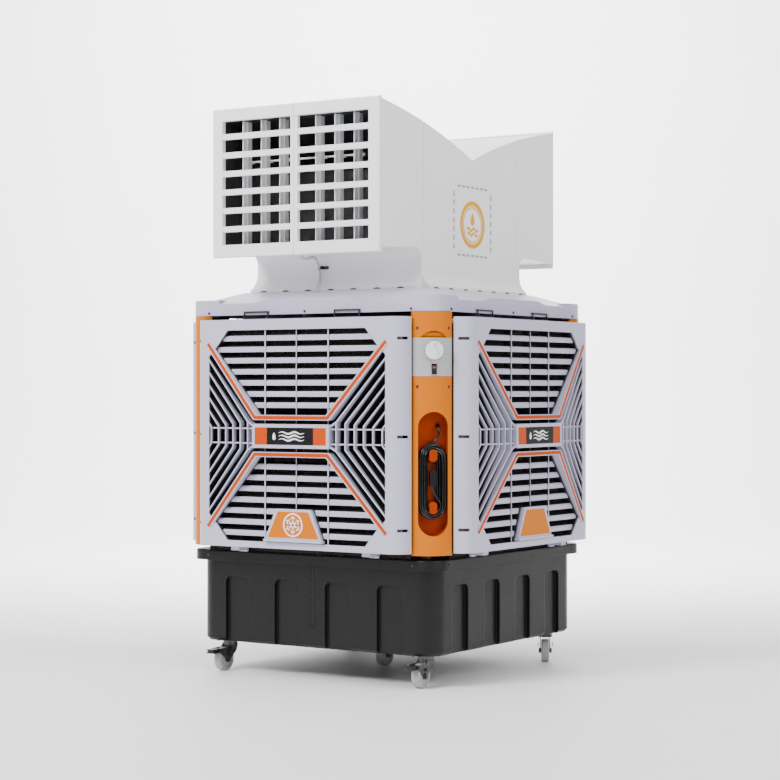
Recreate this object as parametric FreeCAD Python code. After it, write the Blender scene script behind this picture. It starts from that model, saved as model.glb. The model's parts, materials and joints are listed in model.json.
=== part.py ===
import FreeCAD, Part
import math
import os

# Evaporative cooler, millimetres.  Origin: floor level, centre of the footprint.  +Z up, -Y front,
# +X the side with the narrow view.  The control column stands on the (+X, -Y) corner.
V = FreeCAD.Vector
UP = V(0, 0, 1)
SIDES = {"front": 0.0, "right": 90.0, "back": 180.0, "left": 270.0}

# ---------------------------------------------------------------- driving dimensions
# casters; the wheel's radius sets how high the tank stands
WHEEL_R = 37.5
WHEEL_WIDTH = 26.0
CASTER_TRAIL = 33.0
CASTER_HEADINGS = {"front_left": 0.0, "front_right": 4.0, "back_left": -12.0, "back_right": 30.0,
        "centre": 0.0}
PEDALLED = ("front_left", "front_right")
WHEEL_GAP = 5.0
CROWN_THICKNESS = 6.0
CROWN_BOTTOM = 2 * WHEEL_R + WHEEL_GAP
CROWN_TOP = CROWN_BOTTOM + CROWN_THICKNESS
CROWN_R = 25.0
LEG_THICKNESS = 2.5
LEG_GAP = 1.5
AXLE_R = 5.0
KING_R = 6.0
PLATE_THICKNESS = 4.0
PEDAL_PIVOT = (-CASTER_TRAIL - WHEEL_R + 0.5, 2 * WHEEL_R - 7.0)
PEDAL_REACH = 38.0
FIT = 0.05                       # radial running clearance of every pin in its hole
PIVOT_R = 3.0
# body: half its width across the faces of two opposite louvre panels, and the panels' height
PANEL_FACE = 540.0
PANEL_HEIGHT = 716.0
# tank
TANK_HEIGHT = 294.0
TANK_BOTTOM = CROWN_TOP + 14.0
TANK_TOP = TANK_BOTTOM + TANK_HEIGHT
TANK_HALF = PANEL_FACE - 92.0
TANK_CORNER_R = 64.0
TANK_RIM_HALF = PANEL_FACE - 68.0
TANK_RIM_BOTTOM = TANK_TOP - 33.0
TANK_WALL = 8.0
DECK_THICKNESS = 8.0
FLUTE_WIDTH = 94.0
FLUTE_COUNT = 4
FLUTE_PITCH = (TANK_HALF - 60.0) / 2
FLUTE_DEPTH = 12.0
FLUTE_TOP = TANK_TOP - 84.0
FLUTE_ARCH = 20.0
CASTER_PLACE = TANK_HALF - 72.0
GAUGE_X = 4.0
GAUGE_BOTTOM = TANK_BOTTOM + 68.0
GAUGE_HALF_WIDTH = 7.0
GAUGE_DEPTH = 5.0
INLET_R = 10.5
INLET_Z = TANK_RIM_BOTTOM - 23.0
DRAIN_R = 16.0
DRAIN_Z = TANK_BOTTOM + 28.0
FLOAT_PIVOT = (-TANK_HALF + 52.0, 0.0, INLET_Z)
FLOAT_ARM = 150.0
FLOAT_R = 32.0
FLOAT_DROOP = 35.0
# louvre panels
PANEL_BOTTOM = TANK_TOP + 20.0
PANEL_TOP = PANEL_BOTTOM + PANEL_HEIGHT
PANEL_CENTRE_Z = PANEL_BOTTOM + PANEL_HEIGHT / 2 - 7.0
PANEL_FLAT_HALF = PANEL_FACE - 194.0
PANEL_EDGE_R = 51.0
PANEL_WALL = 4.0
PEAK = 22.0                      # how far the name plate stands in front of the panel face
LOUVRE_RECESS = 11.0
LOUVRE_BACK = PANEL_FACE - 35.0
RETURN_END = PANEL_FACE - 65.0
OPENING_HALF_HEIGHT = PANEL_HEIGHT / 2 - 27.0
OPENING_TOP_HALF = PANEL_FLAT_HALF - 84.0
OPENING_SIDE_HALF = PANEL_FLAT_HALF - 11.0
BEVEL_LOW = OPENING_HALF_HEIGHT - 48.0
BEVEL_HALF = PANEL_FLAT_HALF - 44.0
SIDE_TOP = OPENING_HALF_HEIGHT - 81.0
RIDGE_OUT = (PANEL_FLAT_HALF - 8.0, OPENING_HALF_HEIGHT - 41.0)
RIDGE_IN = (138.0, 57.5)
RIDGE_WIDTH = 20.0
RIDGE_LIFT = 2.0
STRIP_WIDTH = 10.0
INLAY_DEPTH = 2.0
INLAY_PROUD = 1.0
SLAT_HEIGHT = 18.0
SLAT_COUNT = 7
SLAT_FIRST = 96.0
SLAT_PITCH = (OPENING_HALF_HEIGHT - 25.0 - SLAT_FIRST) / (SLAT_COUNT - 1)
SLAT_DROP = 7.0
MULLIONS = ((-120.0, 5.0), (0.0, 3.0), (120.0, 5.0))
CHEVRON_COUNT = 6
CHEVRON_FIRST = 168.0
CHEVRON_PITCH = (OPENING_SIDE_HALF - 10.0 - CHEVRON_FIRST) / (CHEVRON_COUNT - 1)
CHEVRON_BEND = 44.0
CHEVRON_BEND_STEP = 3.8
RIB = 4.5
PLATE_FRAME = (146.0, 37.5)
PLATE = (135.0, 26.5)
PLATE_LIFT = 3.0
NOTCH_HEIGHTS = (PANEL_BOTTOM + 71.0, PANEL_CENTRE_Z + 2.0, PANEL_TOP - 66.0)
NOTCH_HALF = 4.5
NOTCH_INNER = PANEL_FLAT_HALF + 26.0
NOTCH_OUTER = PANEL_FLAT_HALF + 59.0
FOOT_PLACE = 250.0
FOOT_HALF = 16.0
BADGE_TOP = -(OPENING_HALF_HEIGHT - 105.0)
BADGE_BOTTOM = -(OPENING_HALF_HEIGHT - 6.0)
BADGE_TOP_HALF = 67.0
BADGE_BOTTOM_HALF = 108.0
BADGE_PROUD = 9.0
BADGE_EDGE = 10.0
# lid
LID_HALF = PANEL_FACE - 66.0
LID_CORNER_R = 61.0
LID_BOTTOM = PANEL_TOP + 16.0
LID_EDGE = LID_BOTTOM + 38.0
LID_DECK = LID_EDGE + 40.0
LID_DECK_HALF = LID_HALF - 122.0
LID_WALL = 4.0
SHOULDER_Z = LID_EDGE + 12.0
SHOULDER_FOOT = LID_HALF - 269.0
SHOULDER_CREST = SHOULDER_FOOT - 55.0
SHOULDER_CORNER = LID_HALF - 129.0
# corner posts and covers; distances of a cover are from the vertical centre axis
POST_OUTER = PANEL_FACE - 120.0
POST_WIDTH = 42.0
POST_WALL = 3.0
POST_SOCKET = 3.0
POST_CLEARANCE = 4.03
DECK_OPENING_HALF = POST_OUTER - 34.0
COLUMN_BACK = POST_OUTER * math.sqrt(2) + POST_CLEARANCE
COLUMN_EDGE = COLUMN_BACK + 24.0
COLUMN_CREST = COLUMN_EDGE + 23.0
COLUMN_HALF_WIDTH = 61.0
COLUMN_WALL = 3.5
COLUMN_BOTTOM = TANK_TOP + 14.0
COLUMN_TOP = LID_BOTTOM - 1.0
SHELF = 3.0
SHELF_HALF = 42.0
SEAM = 0.6
SCREW_U = 48.0
COVER_SCALLOP_R = 52.0
CONTROL_TOP = COLUMN_TOP - 79.0
CONTROL_BOTTOM = CONTROL_TOP - 117.0
KNOB_Z = CONTROL_TOP - 39.0
KNOB_R = 28.0
KNOB_RING_R = 33.0
KNOB_SEAT_R = 9.0
SWITCH_Z = CONTROL_BOTTOM + 22.0
SWITCH_HALF_WIDTH = 8.0
SWITCH_HALF_HEIGHT = 15.5
SWITCH_PIN_R = 1.5
ROCKER_TILT = 8.0
PANEL_CREST = COLUMN_CREST + 1.0
# cord pocket, its cleats and the winding on them
RECESS_BOTTOM = COLUMN_BOTTOM + 59.0
RECESS_TOP = CONTROL_BOTTOM - 107.0
RECESS_HALF_WIDTH = 46.5
RECESS_FLOOR = COLUMN_BACK + 3.0
CLEAT_R = 12.0
CLEAT_GAP = 1.0
CLEAT_HEAD_REACH = 26.0
CLEAT_HEAD_THICKNESS = 4.0
COIL_BACK = RECESS_FLOOR + 5.0
COIL_FRONT = COIL_BACK + 26.0
COIL_HALF = 44.0
COIL_INNER_HALF = CLEAT_R + CLEAT_GAP
COIL_BOTTOM = RECESS_BOTTOM + 48.0
COIL_TOP = RECESS_TOP - 95.0
GLAND_R = 8.0
GLAND_LENGTH = 2.0
GLAND_U = 20.0
GLAND_Z = RECESS_TOP - 42.0
CORD_R = 3.75
PLUG_HALF_WIDTH = 11.0
PLUG_LENGTH = 46.0
PLUG_FOOT = (COIL_BOTTOM + COIL_TOP) / 2 - 13.0
# (place across the cover, distance from the centre axis, height)
LEAD_POINTS = [(20.0, 603.0, 800.0), (20.0, 614.0, 798.0), (21.0, 621.0, 786.0), (21.0, 621.0, 769.0),
               (19.0, 618.0, 755.0), (17.0, 617.0, 741.0)]
TAIL_POINTS = [(0.0, 630.0, 619.0), (0.5, 630.0, 606.0), (4.0, 628.0, 594.0), (11.0, 624.0, 583.0),
               (20.0, 620.0, 574.0)]
# pads and water circuit
PAD_OUTER = PANEL_FACE - 80.0
PAD_THICKNESS = 70.0
PAD_HALF_WIDTH = PAD_OUTER - 85.0
PAD_TOP = LID_BOTTOM - 38.0
PIPE_R = 10.0
PIPE_HALF = POST_OUTER + PIPE_R + 4.0
PIPE_Z = PAD_TOP + PIPE_R
PUMP_PLACE = TANK_HALF - 198.0
PUMP_R = 38.0
RISER_PLACE = PUMP_PLACE + PUMP_R + 28.0
RISER_SOCKET = 3.0
# fan
FAN_R = 285.0
FAN_TIP_GAP = 7.0
SHROUD_WALL = 5.0
SHROUD_FLANGE = 30.0
SHROUD_BOTTOM = LID_DECK - 128.0
SPIDER_THICKNESS = 8.0
MOTOR_R = 70.0
MOTOR_BOTTOM = SHROUD_BOTTOM - 128.0
MOTOR_BOSS_R = 21.5
FIN_COUNT = 24
SHAFT_R = 9.0
HUB_R = 66.0
HUB_BOTTOM = SHROUD_BOTTOM + 28.0
HUB_TOP = HUB_BOTTOM + 62.0
BLADE_COUNT = 6
# duct
DUCT_BASE_HALF = LID_DECK_HALF - 7.0
DUCT_HALF_WIDTH = DUCT_BASE_HALF - 28.0
DUCT_NECK_HALF = DUCT_BASE_HALF - 39.0
DUCT_WALL = 4.0
DUCT_MOUTH = PANEL_FACE - 9.0
DUCT_FLOOR = LID_DECK + 116.0
DUCT_NECK_TOP = DUCT_FLOOR - 22.0
DUCT_FLOOR_START = DUCT_NECK_HALF + 46.0
DUCT_SIDE_NECK = 62.0
OUTLET_HEIGHT = 470.0
OUTLET_BOTTOM = DUCT_FLOOR - 14.0
OUTLET_TOP = OUTLET_BOTTOM + OUTLET_HEIGHT
DUCT_TOP = OUTLET_TOP - 7.0
DUCT_NOTCH = DUCT_TOP - 141.0
TRIM_RIB_Y = DUCT_NECK_HALF - 18.0
TRIM_RIB_BOTTOM = DUCT_FLOOR + 5.0
TRIM_RIB_TOP = DUCT_TOP - 61.0
EMBLEM_HALF = (115.0, 110.0)
EMBLEM_Z = DUCT_FLOOR + 110.0
DASH_PITCH = 28.0
# outlets
OUTLET_FACE = DUCT_MOUTH + 14.0
OUTLET_HALF = DUCT_HALF_WIDTH
OUTLET_OPEN_HALF = OUTLET_HALF - 39.0
OUTLET_OPEN_BOTTOM = OUTLET_BOTTOM + 40.0
OUTLET_OPEN_TOP = OUTLET_TOP - 39.0
MULLION_WIDTH = 27.0
BAR_HEIGHT = 18.0
BAR_COUNT = 6
SLEEVE_WALL = 4.0
SLEEVE_END = DUCT_MOUTH - 65.0
VANE_PLANE = DUCT_MOUTH - 30.0
VANE_CHORD = 46.0
VANE_THICKNESS = 3.0
VANE_FIRST = 68.6
VANE_SIDE_GAP = 66.0
VANE_PITCH = (OUTLET_OPEN_HALF - VANE_SIDE_GAP - VANE_FIRST) / 2
VANE_END_GAP = 1.5
CRANK_R = 32.0
CRANK_Z = OUTLET_OPEN_TOP - 123.0
CRANK_FIT = 0.4                  # opened pins of the link: clear of their holes all round
LINK_HEIGHT = 5.0
LINK_WIDTH = 9.0
MOTOR_DISC_R = 22.0
MOTOR_DISC_HEIGHT = 12.0
# lead of the front swing motor: from under the duct, over its neck, into the lid
SWING_LEAD_R = 4.0
SWING_LEAD = [(-4.0, -508.0, 1336.0), (-5.0, -502.0, 1324.0), (-10.0, -480.0, 1318.0),
        (-20.0, -441.0, 1321.0),
              (-33.0, -400.0, 1328.0), (-46.0, -364.0, 1328.0), (-56.0, -335.0, 1315.0), (-60.0,
                      -319.0, 1293.0),
              (-57.0, -319.0, 1271.0), (-51.0, -332.0, 1252.0), (-46.0, -352.0, 1239.0), (-43.0,
                      -366.0, 1222.0)]
# where the lead leaves the duct, where its clip holds it and where it enters the lid
DUCT_GLAND = (-4.0, -(DUCT_MOUTH - 23.0), DUCT_FLOOR - 4.0)
CLIP_POINT = (-60.0, -(DUCT_NECK_HALF + 13.0), DUCT_FLOOR - 47.0)
LID_GLAND = (-43.0, -(LID_DECK_HALF + 14.0), LID_DECK - 2.0)
# wire clips and screws
CLIP_PLACES = (-194.0, 154.0)
CLIP_HALF = 46.0
CLIP_WIRE_R = 2.5
CLIP_STANDOFF = 6.0
CLIP_LOW = PANEL_TOP + 3.0
CLIP_HIGH = LID_BOTTOM + 9.0
LID_SCREWS = (-(LID_HALF - 88.0), -9.0, LID_HALF - 88.0)
LID_SCREW_Z = LID_BOTTOM + 8.0
RIM_SCREW = TANK_RIM_HALF - 82.0
COVER_SCREW_HEIGHTS = (CONTROL_TOP + 29.0, CONTROL_BOTTOM - 31.0)


# ---------------------------------------------------------------- small tools
def box(x0, x1, y0, y1, z0, z1):
    return Part.makeBox(x1 - x0, y1 - y0, z1 - z0, V(x0, y0, z0))


def cylinder(r, z0, z1, x=0.0, y=0.0):
    return Part.makeCylinder(r, z1 - z0, V(x, y, z0), UP)


def rod(r, start, end):
    a = V(*start)
    b = V(*end)
    return Part.makeCylinder(r, a.distanceToPoint(b), a, b - a)


def fuse(shapes):
    shapes = list(shapes)
    return shapes[0].multiFuse(shapes[1:]) if len(shapes) > 1 else shapes[0]


def polygon(points):
    corners = [V(*p) for p in points]
    return Part.Face(Part.makePolygon(corners + corners[:1]))


def prism_xy(points, z0, z1):
    return polygon([(x, y, z0) for x, y in points]).extrude(V(0, 0, z1 - z0))


def prism_xz(points, y0, y1):
    return polygon([(x, y0, z) for x, z in points]).extrude(V(0, y1 - y0, 0))


def prism_yz(points, x0, x1):
    return polygon([(x0, y, z) for y, z in points]).extrude(V(x1 - x0, 0, 0))


def rounded_wire(half_x, half_y, r, z, x=0.0, y=0.0):
    """Rectangle with rounded corners, flat at height z."""
    edges = []
    k = r * (1 - math.sqrt(0.5))
    corners = [(1, 1), (-1, 1), (-1, -1), (1, -1)]
    for i, (sx, sy) in enumerate(corners):
        first = V(x + sx * half_x, y + sy * (half_y - r), z)
        last = V(x + sx * (half_x - r), y + sy * half_y, z)
        middle = V(x + sx * (half_x - k), y + sy * (half_y - k), z)
        if sx * sy < 0:
            first, last = last, first
        edges.append(Part.Arc(first, middle, last).toShape())
        nx, ny = corners[(i + 1) % 4]
        start = V(x + nx * half_x, y + ny * (half_y - r), z)
        if nx * ny < 0:
            start = V(x + nx * (half_x - r), y + ny * half_y, z)
        edges.append(Part.makeLine(last, start))
    return Part.Wire(edges)


def rounded_block(half_x, half_y, r, z0, z1, x=0.0, y=0.0):
    return Part.Face(rounded_wire(half_x, half_y, r, z0, x, y)).extrude(V(0, 0, z1 - z0))


def turned(shape, degrees):
    copy = shape.copy()
    copy.rotate(V(0, 0, 0), UP, degrees)
    return copy


def moved(shape, x=0.0, y=0.0, z=0.0):
    copy = shape.copy()
    copy.translate(V(x, y, z))
    return copy


def mirrored_x(shape):
    return shape.mirror(V(0, 0, 0), V(1, 0, 0))


def on_column(shape):
    """Takes a shape drawn with its outer face towards -Y to the (+X, -Y) corner."""
    return turned(shape, 45.0)


def save(name, shapes):
    shapes = shapes if isinstance(shapes, (list, tuple)) else [shapes]
    solids = [s for shape in shapes for s in shape.Solids]
    for s in solids:
        if not s.isValid() or s.Volume <= 0:
            raise RuntimeError("bad solid in " + name)
    whole = solids[0] if len(solids) == 1 else Part.makeCompound(solids)
    whole.exportStep("parts/%s.step" % name)
    print("%-26s %2d solids %12.0f mm3" % (name, len(solids), sum(s.Volume for s in solids)))


# ---------------------------------------------------------------- tank
def flute(depth, grow, side_half):
    """One recessed flute in a -Y wall, running out of the tank's bottom edge."""
    half = FLUTE_WIDTH / 2 + grow
    top = FLUTE_TOP + grow
    outline = [(-half, TANK_BOTTOM - 1), (half, TANK_BOTTOM - 1), (half, top - FLUTE_ARCH)]
    for step in range(1, 9):
        angle = math.pi * step / 18
        outline.append((half - FLUTE_ARCH * (1 - math.cos(angle)),
                top - FLUTE_ARCH + FLUTE_ARCH * math.sin(angle)))
    outline += [(-x, z) for x, z in reversed(outline[2:])]
    return prism_xz(outline, -side_half - 1, -side_half + depth)


def flute_places():
    return [(i - (FLUTE_COUNT - 1) / 2) * FLUTE_PITCH for i in range(FLUTE_COUNT)]


def water_tank():
    outer = rounded_block(TANK_HALF, TANK_HALF, TANK_CORNER_R, TANK_BOTTOM, TANK_TOP - 1)
    outer = outer.makeChamfer(9.0, [e for e in outer.Edges if e.BoundBox.ZMax < TANK_BOTTOM + 0.1])
    inner_half = TANK_HALF - TANK_WALL
    cavity = rounded_block(inner_half, inner_half, TANK_CORNER_R - TANK_WALL,
                           TANK_BOTTOM + TANK_WALL, TANK_TOP - DECK_THICKNESS)
    cuts = []
    bumps = []
    for angle in SIDES.values():
        for x in flute_places():
            cuts.append(turned(moved(flute(FLUTE_DEPTH, 0.0, TANK_HALF), x), angle))
            bumps.append(turned(moved(flute(FLUTE_DEPTH + TANK_WALL, TANK_WALL, TANK_HALF), x), angle))
    cavity = cavity.cut(fuse(bumps))
    rim = rounded_block(TANK_RIM_HALF, TANK_RIM_HALF, TANK_CORNER_R, TANK_RIM_BOTTOM, TANK_TOP)
    rim = rim.makeFillet(5.0, [e for e in rim.Edges if e.BoundBox.ZMin > TANK_TOP - 0.1])
    body = outer.cut(fuse(cuts)).fuse(rim).cut(cavity)
    body = body.cut(rounded_block(DECK_OPENING_HALF, DECK_OPENING_HALF, 40.0,
                                  TANK_TOP - 2 * DECK_THICKNESS, TANK_TOP + 1))
    slots = []
    slot = box(-PAD_HALF_WIDTH + 12, PAD_HALF_WIDTH - 12, -PAD_OUTER + 25, -PAD_OUTER + 60,
               TANK_TOP - DECK_THICKNESS - 1, TANK_TOP + 1)
    for angle in SIDES.values():
        slots.append(turned(slot, angle))
    groove = box(GAUGE_X - GAUGE_HALF_WIDTH - 1, GAUGE_X + GAUGE_HALF_WIDTH + 1, -TANK_HALF - 1,
                 -TANK_HALF + GAUGE_DEPTH, GAUGE_BOTTOM, TANK_RIM_BOTTOM)
    inlet_hole = rod(INLET_R, (-TANK_HALF - 2, 0, INLET_Z), (-TANK_HALF + 30, 0, INLET_Z))
    drain_hole = rod(DRAIN_R, (-TANK_HALF - 2, 0, DRAIN_Z), (-TANK_HALF + 30, 0, DRAIN_Z))
    return body.cut(fuse(slots + [groove, inlet_hole, drain_hole]))


def level_window():
    strip = box(GAUGE_X - GAUGE_HALF_WIDTH, GAUGE_X + GAUGE_HALF_WIDTH, -TANK_HALF,
                -TANK_HALF + GAUGE_DEPTH, GAUGE_BOTTOM + 1, TANK_RIM_BOTTOM - 1)
    return strip


def tank_fittings():
    """Float valve body with its threaded water inlet, and the drain plug."""
    wall_in = -TANK_HALF + TANK_WALL
    inlet = rod(INLET_R, (-TANK_HALF - 34, 0, INLET_Z), (wall_in, 0, INLET_Z))
    waterway = rod(6.0, (-TANK_HALF - 35, 0, INLET_Z), (wall_in + 20, 0, INLET_Z))
    nut = [(15 * math.cos(math.radians(60 * i)), 15 * math.sin(math.radians(60 * i))) for i in range(6)]
    nut = polygon([(-TANK_HALF - 9, y, INLET_Z + z) for y, z in nut]).extrude(V(9, 0, 0))
    body = rod(13.0, (wall_in, 0, INLET_Z), (wall_in + 32, 0, INLET_Z))
    px, py, pz = FLOAT_PIVOT
    ear_start = wall_in + 28
    ears = [box(ear_start, px + 6, side * 6.0 - 1.5, side * 6.0 + 1.5, pz - 7, pz + 7) for side in (-1, 1)]
    valve = fuse([inlet, nut, body] + ears).cut(waterway)
    valve = valve.cut(rod(PIVOT_R, (px, -20, pz), (px, 20, pz)))
    plug = rod(DRAIN_R, (-TANK_HALF - 4, 0, DRAIN_Z), (wall_in + 8, 0, DRAIN_Z))
    cap = rod(27.0, (-TANK_HALF - 18, 0, DRAIN_Z), (-TANK_HALF, 0, DRAIN_Z))
    grip = box(-TANK_HALF - 26, -TANK_HALF - 17, -4, 4, DRAIN_Z - 20, DRAIN_Z + 20)
    return [valve, fuse([plug, cap, grip])]


def float_arm():
    px, py, pz = FLOAT_PIVOT
    pin = rod(PIVOT_R - FIT, (px, -7.5, pz), (px, 7.5, pz))
    eye = rod(6.0, (px, -4.0, pz), (px, 4.0, pz))
    arm = rod(2.5, (px + 3, 0, pz), (px + FLOAT_ARM, 0, pz))
    centre = (px + FLOAT_ARM, 0, pz)
    ball = Part.makeSphere(FLOAT_R, V(*centre))
    whole = fuse([pin, eye, arm, ball])
    whole.rotate(V(px, py, pz), V(0, 1, 0), FLOAT_DROOP)
    return whole


# ---------------------------------------------------------------- casters


def caster_places():
    p = CASTER_PLACE
    return {"front_left": (-p, -p), "front_right": (p, -p), "back_left": (-p, p), "back_right": (p, p),
            "centre": (0.0, 0.0)}


def placed_caster(shape, name):
    x, y = caster_places()[name]
    return moved(turned(shape, CASTER_HEADINGS[name]), x, y)


def caster_plate():
    plate = rounded_block(40.0, 31.0, 6.0, TANK_BOTTOM - PLATE_THICKNESS, TANK_BOTTOM)
    race = cylinder(CROWN_R - 2, CROWN_TOP + 0.4, TANK_BOTTOM - PLATE_THICKNESS)
    king_pin = cylinder(KING_R, CROWN_BOTTOM - 3, TANK_BOTTOM - PLATE_THICKNESS)
    head = cylinder(KING_R + 3, CROWN_BOTTOM - 3, CROWN_BOTTOM - 0.4)
    bolts = [cylinder(4.0, TANK_BOTTOM - PLATE_THICKNESS - 4, TANK_BOTTOM - 1, x, y)
             for x in (-31, 31) for y in (-22, 22)]
    return fuse([plate, race, king_pin, head] + bolts)


def caster_fork():
    """Fork trailing towards -Y, king pin bore on the Z axis; the axle bolt is a piece of its own."""
    crown = cylinder(CROWN_R, CROWN_BOTTOM, CROWN_TOP)
    leg_in = WHEEL_WIDTH / 2 + LEG_GAP
    outline = [(20, CROWN_TOP), (-20, CROWN_TOP), (-CASTER_TRAIL - 14, WHEEL_R + 10),
               (-CASTER_TRAIL - 10, WHEEL_R - 8), (-CASTER_TRAIL + 4, WHEEL_R - 12),
               (-CASTER_TRAIL + 14, WHEEL_R), (12, CROWN_BOTTOM - 18)]
    legs = [prism_yz(outline, side * leg_in, side * (leg_in + LEG_THICKNESS)) for side in (-1, 1)]
    bridge = box(-leg_in - 1, leg_in + 1, -20, 20, CROWN_BOTTOM, CROWN_TOP)
    fork = fuse([crown, bridge] + legs)
    fork = fork.cut(cylinder(KING_R + FIT, CROWN_BOTTOM - 30, CROWN_TOP + 5))
    axle_end = leg_in + LEG_THICKNESS
    fork = fork.cut(rod(AXLE_R, (-axle_end - 2, -CASTER_TRAIL, WHEEL_R),
            (axle_end + 2, -CASTER_TRAIL, WHEEL_R)))
    axle = rod(AXLE_R, (-axle_end, -CASTER_TRAIL, WHEEL_R), (axle_end, -CASTER_TRAIL, WHEEL_R))
    heads = [rod(8.0, (side * axle_end, -CASTER_TRAIL, WHEEL_R),
            (side * (axle_end + 5), -CASTER_TRAIL, WHEEL_R))
             for side in (-1, 1)]
    return fork, fuse([axle] + heads)


def pedal_ears():
    """Two ears on the fork's tail that carry the brake pedal's pin."""
    leg_in = WHEEL_WIDTH / 2 + LEG_GAP
    y, z = PEDAL_PIVOT
    outline = [(y - 6, z - 6), (y - 6, z + 6), (-CASTER_TRAIL + 4, CROWN_BOTTOM - 4),
            (-CASTER_TRAIL - 8, WHEEL_R)]
    ears = [prism_yz(outline, side * leg_in, side * (leg_in + LEG_THICKNESS)) for side in (-1, 1)]
    hole = rod(PIVOT_R + FIT, (-30, y, z), (30, y, z))
    return fuse(ears), hole


def brake_pedal():
    y, z = PEDAL_PIVOT
    half = WHEEL_WIDTH / 2 + LEG_GAP - 0.5
    treads = [box(-half, half, y - PEDAL_REACH, y - 4, z + 1.5, z + 5.5),
            box(-half, half, y - PEDAL_REACH, y - 2, z - 7, z - 3)]
    web = box(-half + 4, half - 4, y - PEDAL_REACH + 2, y, z - 7, z + 5.5)
    barrel = rod(6.0, (-half, y, z), (half, y, z))
    pin = rod(PIVOT_R, (-half - 4, y, z), (half + 4, y, z))
    return fuse(treads + [web, barrel, pin])


def caster_wheel():
    half = WHEEL_WIDTH / 2
    crown = 4.0
    rim = WHEEL_R - 10.5
    dish = 3.0
    bore = AXLE_R + FIT
    outline = [V(bore, 0, -half), V(12, 0, -half), V(12, 0, -half + dish), V(rim, 0, -half + dish),
            V(rim, 0, -half),
               V(WHEEL_R - crown, 0, -half)]
    last = [V(p.x, 0, -p.z) for p in reversed(outline)]
    edges = [Part.makeLine(outline[i], outline[i + 1]) for i in range(len(outline) - 1)]
    shoulder = crown * (1 - math.sqrt(0.5))
    low_end = V(WHEEL_R, 0, -half + crown)
    high_end = V(WHEEL_R, 0, half - crown)
    edges.append(Part.Arc(outline[-1], V(WHEEL_R - shoulder, 0, -half + shoulder), low_end).toShape())
    edges.append(Part.makeLine(low_end, high_end))
    edges.append(Part.Arc(high_end, V(WHEEL_R - shoulder, 0, half - shoulder), last[0]).toShape())
    edges += [Part.makeLine(last[i], last[i + 1]) for i in range(len(last) - 1)]
    edges.append(Part.makeLine(last[-1], outline[0]))
    wheel = Part.Face(Part.Wire(edges)).revolve(V(0, 0, 0), UP, 360)
    wheel.rotate(V(0, 0, 0), V(0, 1, 0), 90)
    return moved(wheel, 0, -CASTER_TRAIL, WHEEL_R)


# ---------------------------------------------------------------- louvre panels (drawn facing -Y)
def ridge(outer, inner, width, back, outer_front, inner_front):
    """Straight bar from outer to inner, both (x, z from the panel centre), its front edge sloping."""
    dx = inner[0] - outer[0]
    dz = inner[1] - outer[1]
    length = math.hypot(dx, dz)
    side = polygon([(0, -outer_front, -width / 2), (length, -inner_front, -width / 2),
            (length, -back, -width / 2),
                    (0, -back, -width / 2)])
    bar = side.extrude(V(0, 0, width))
    bar.rotate(V(0, 0, 0), V(0, 1, 0), -math.degrees(math.atan2(dz, dx)))
    return moved(bar, outer[0], 0, PANEL_CENTRE_Z + outer[1])


def ridge_x(height):
    """Half width between the two ridges at a height above or below the panel centre."""
    slope = (RIDGE_OUT[0] - RIDGE_IN[0]) / (RIDGE_OUT[1] - RIDGE_IN[1])
    return RIDGE_IN[0] + (height - RIDGE_IN[1]) * slope


def pyramid_front(x):
    """Distance of the chevron ribs' front edges from the centre axis, at a distance x from the middle."""
    share = (RIDGE_OUT[0] - abs(x)) / (RIDGE_OUT[0] - RIDGE_IN[0])
    return PANEL_FACE + PEAK * max(0.0, share)


def opening_outline(grow=0.0):
    corners = [(OPENING_TOP_HALF, OPENING_HALF_HEIGHT + grow), (BEVEL_HALF + grow, BEVEL_LOW + grow),
               (OPENING_SIDE_HALF + grow, SIDE_TOP + grow)]
    right = corners + [(x, -z) for x, z in reversed(corners)]
    return [(x, PANEL_CENTRE_Z + z) for x, z in right] + [(-x, PANEL_CENTRE_Z + z) for x,
            z in reversed(right)]


def edge_profile(inset, y_end):
    """Plan outline of the panel's face with its two rolled edges, closed straight across at y_end."""
    r = PANEL_EDGE_R - inset
    half = PANEL_FLAT_HALF + r
    k = r * math.sqrt(0.5)
    cy = -PANEL_FACE + PANEL_EDGE_R
    points = [V(-half, cy, 0), V(-PANEL_FLAT_HALF, cy - r, 0), V(PANEL_FLAT_HALF, cy - r, 0),
            V(half, cy, 0)]
    edges = [Part.Arc(points[0], V(-PANEL_FLAT_HALF - k, cy - k, 0), points[1]).toShape(),
             Part.makeLine(points[1], points[2]),
             Part.Arc(points[2], V(PANEL_FLAT_HALF + k, cy - k, 0), points[3]).toShape()]
    if y_end > cy:
        edges += [Part.makeLine(points[3], V(half, y_end, 0)),
                Part.makeLine(V(half, y_end, 0), V(-half, y_end, 0)),
                  Part.makeLine(V(-half, y_end, 0), points[0])]
    else:
        edges.append(Part.makeLine(points[3], points[0]))
    return Part.Face(Part.Wire(edges))


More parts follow.
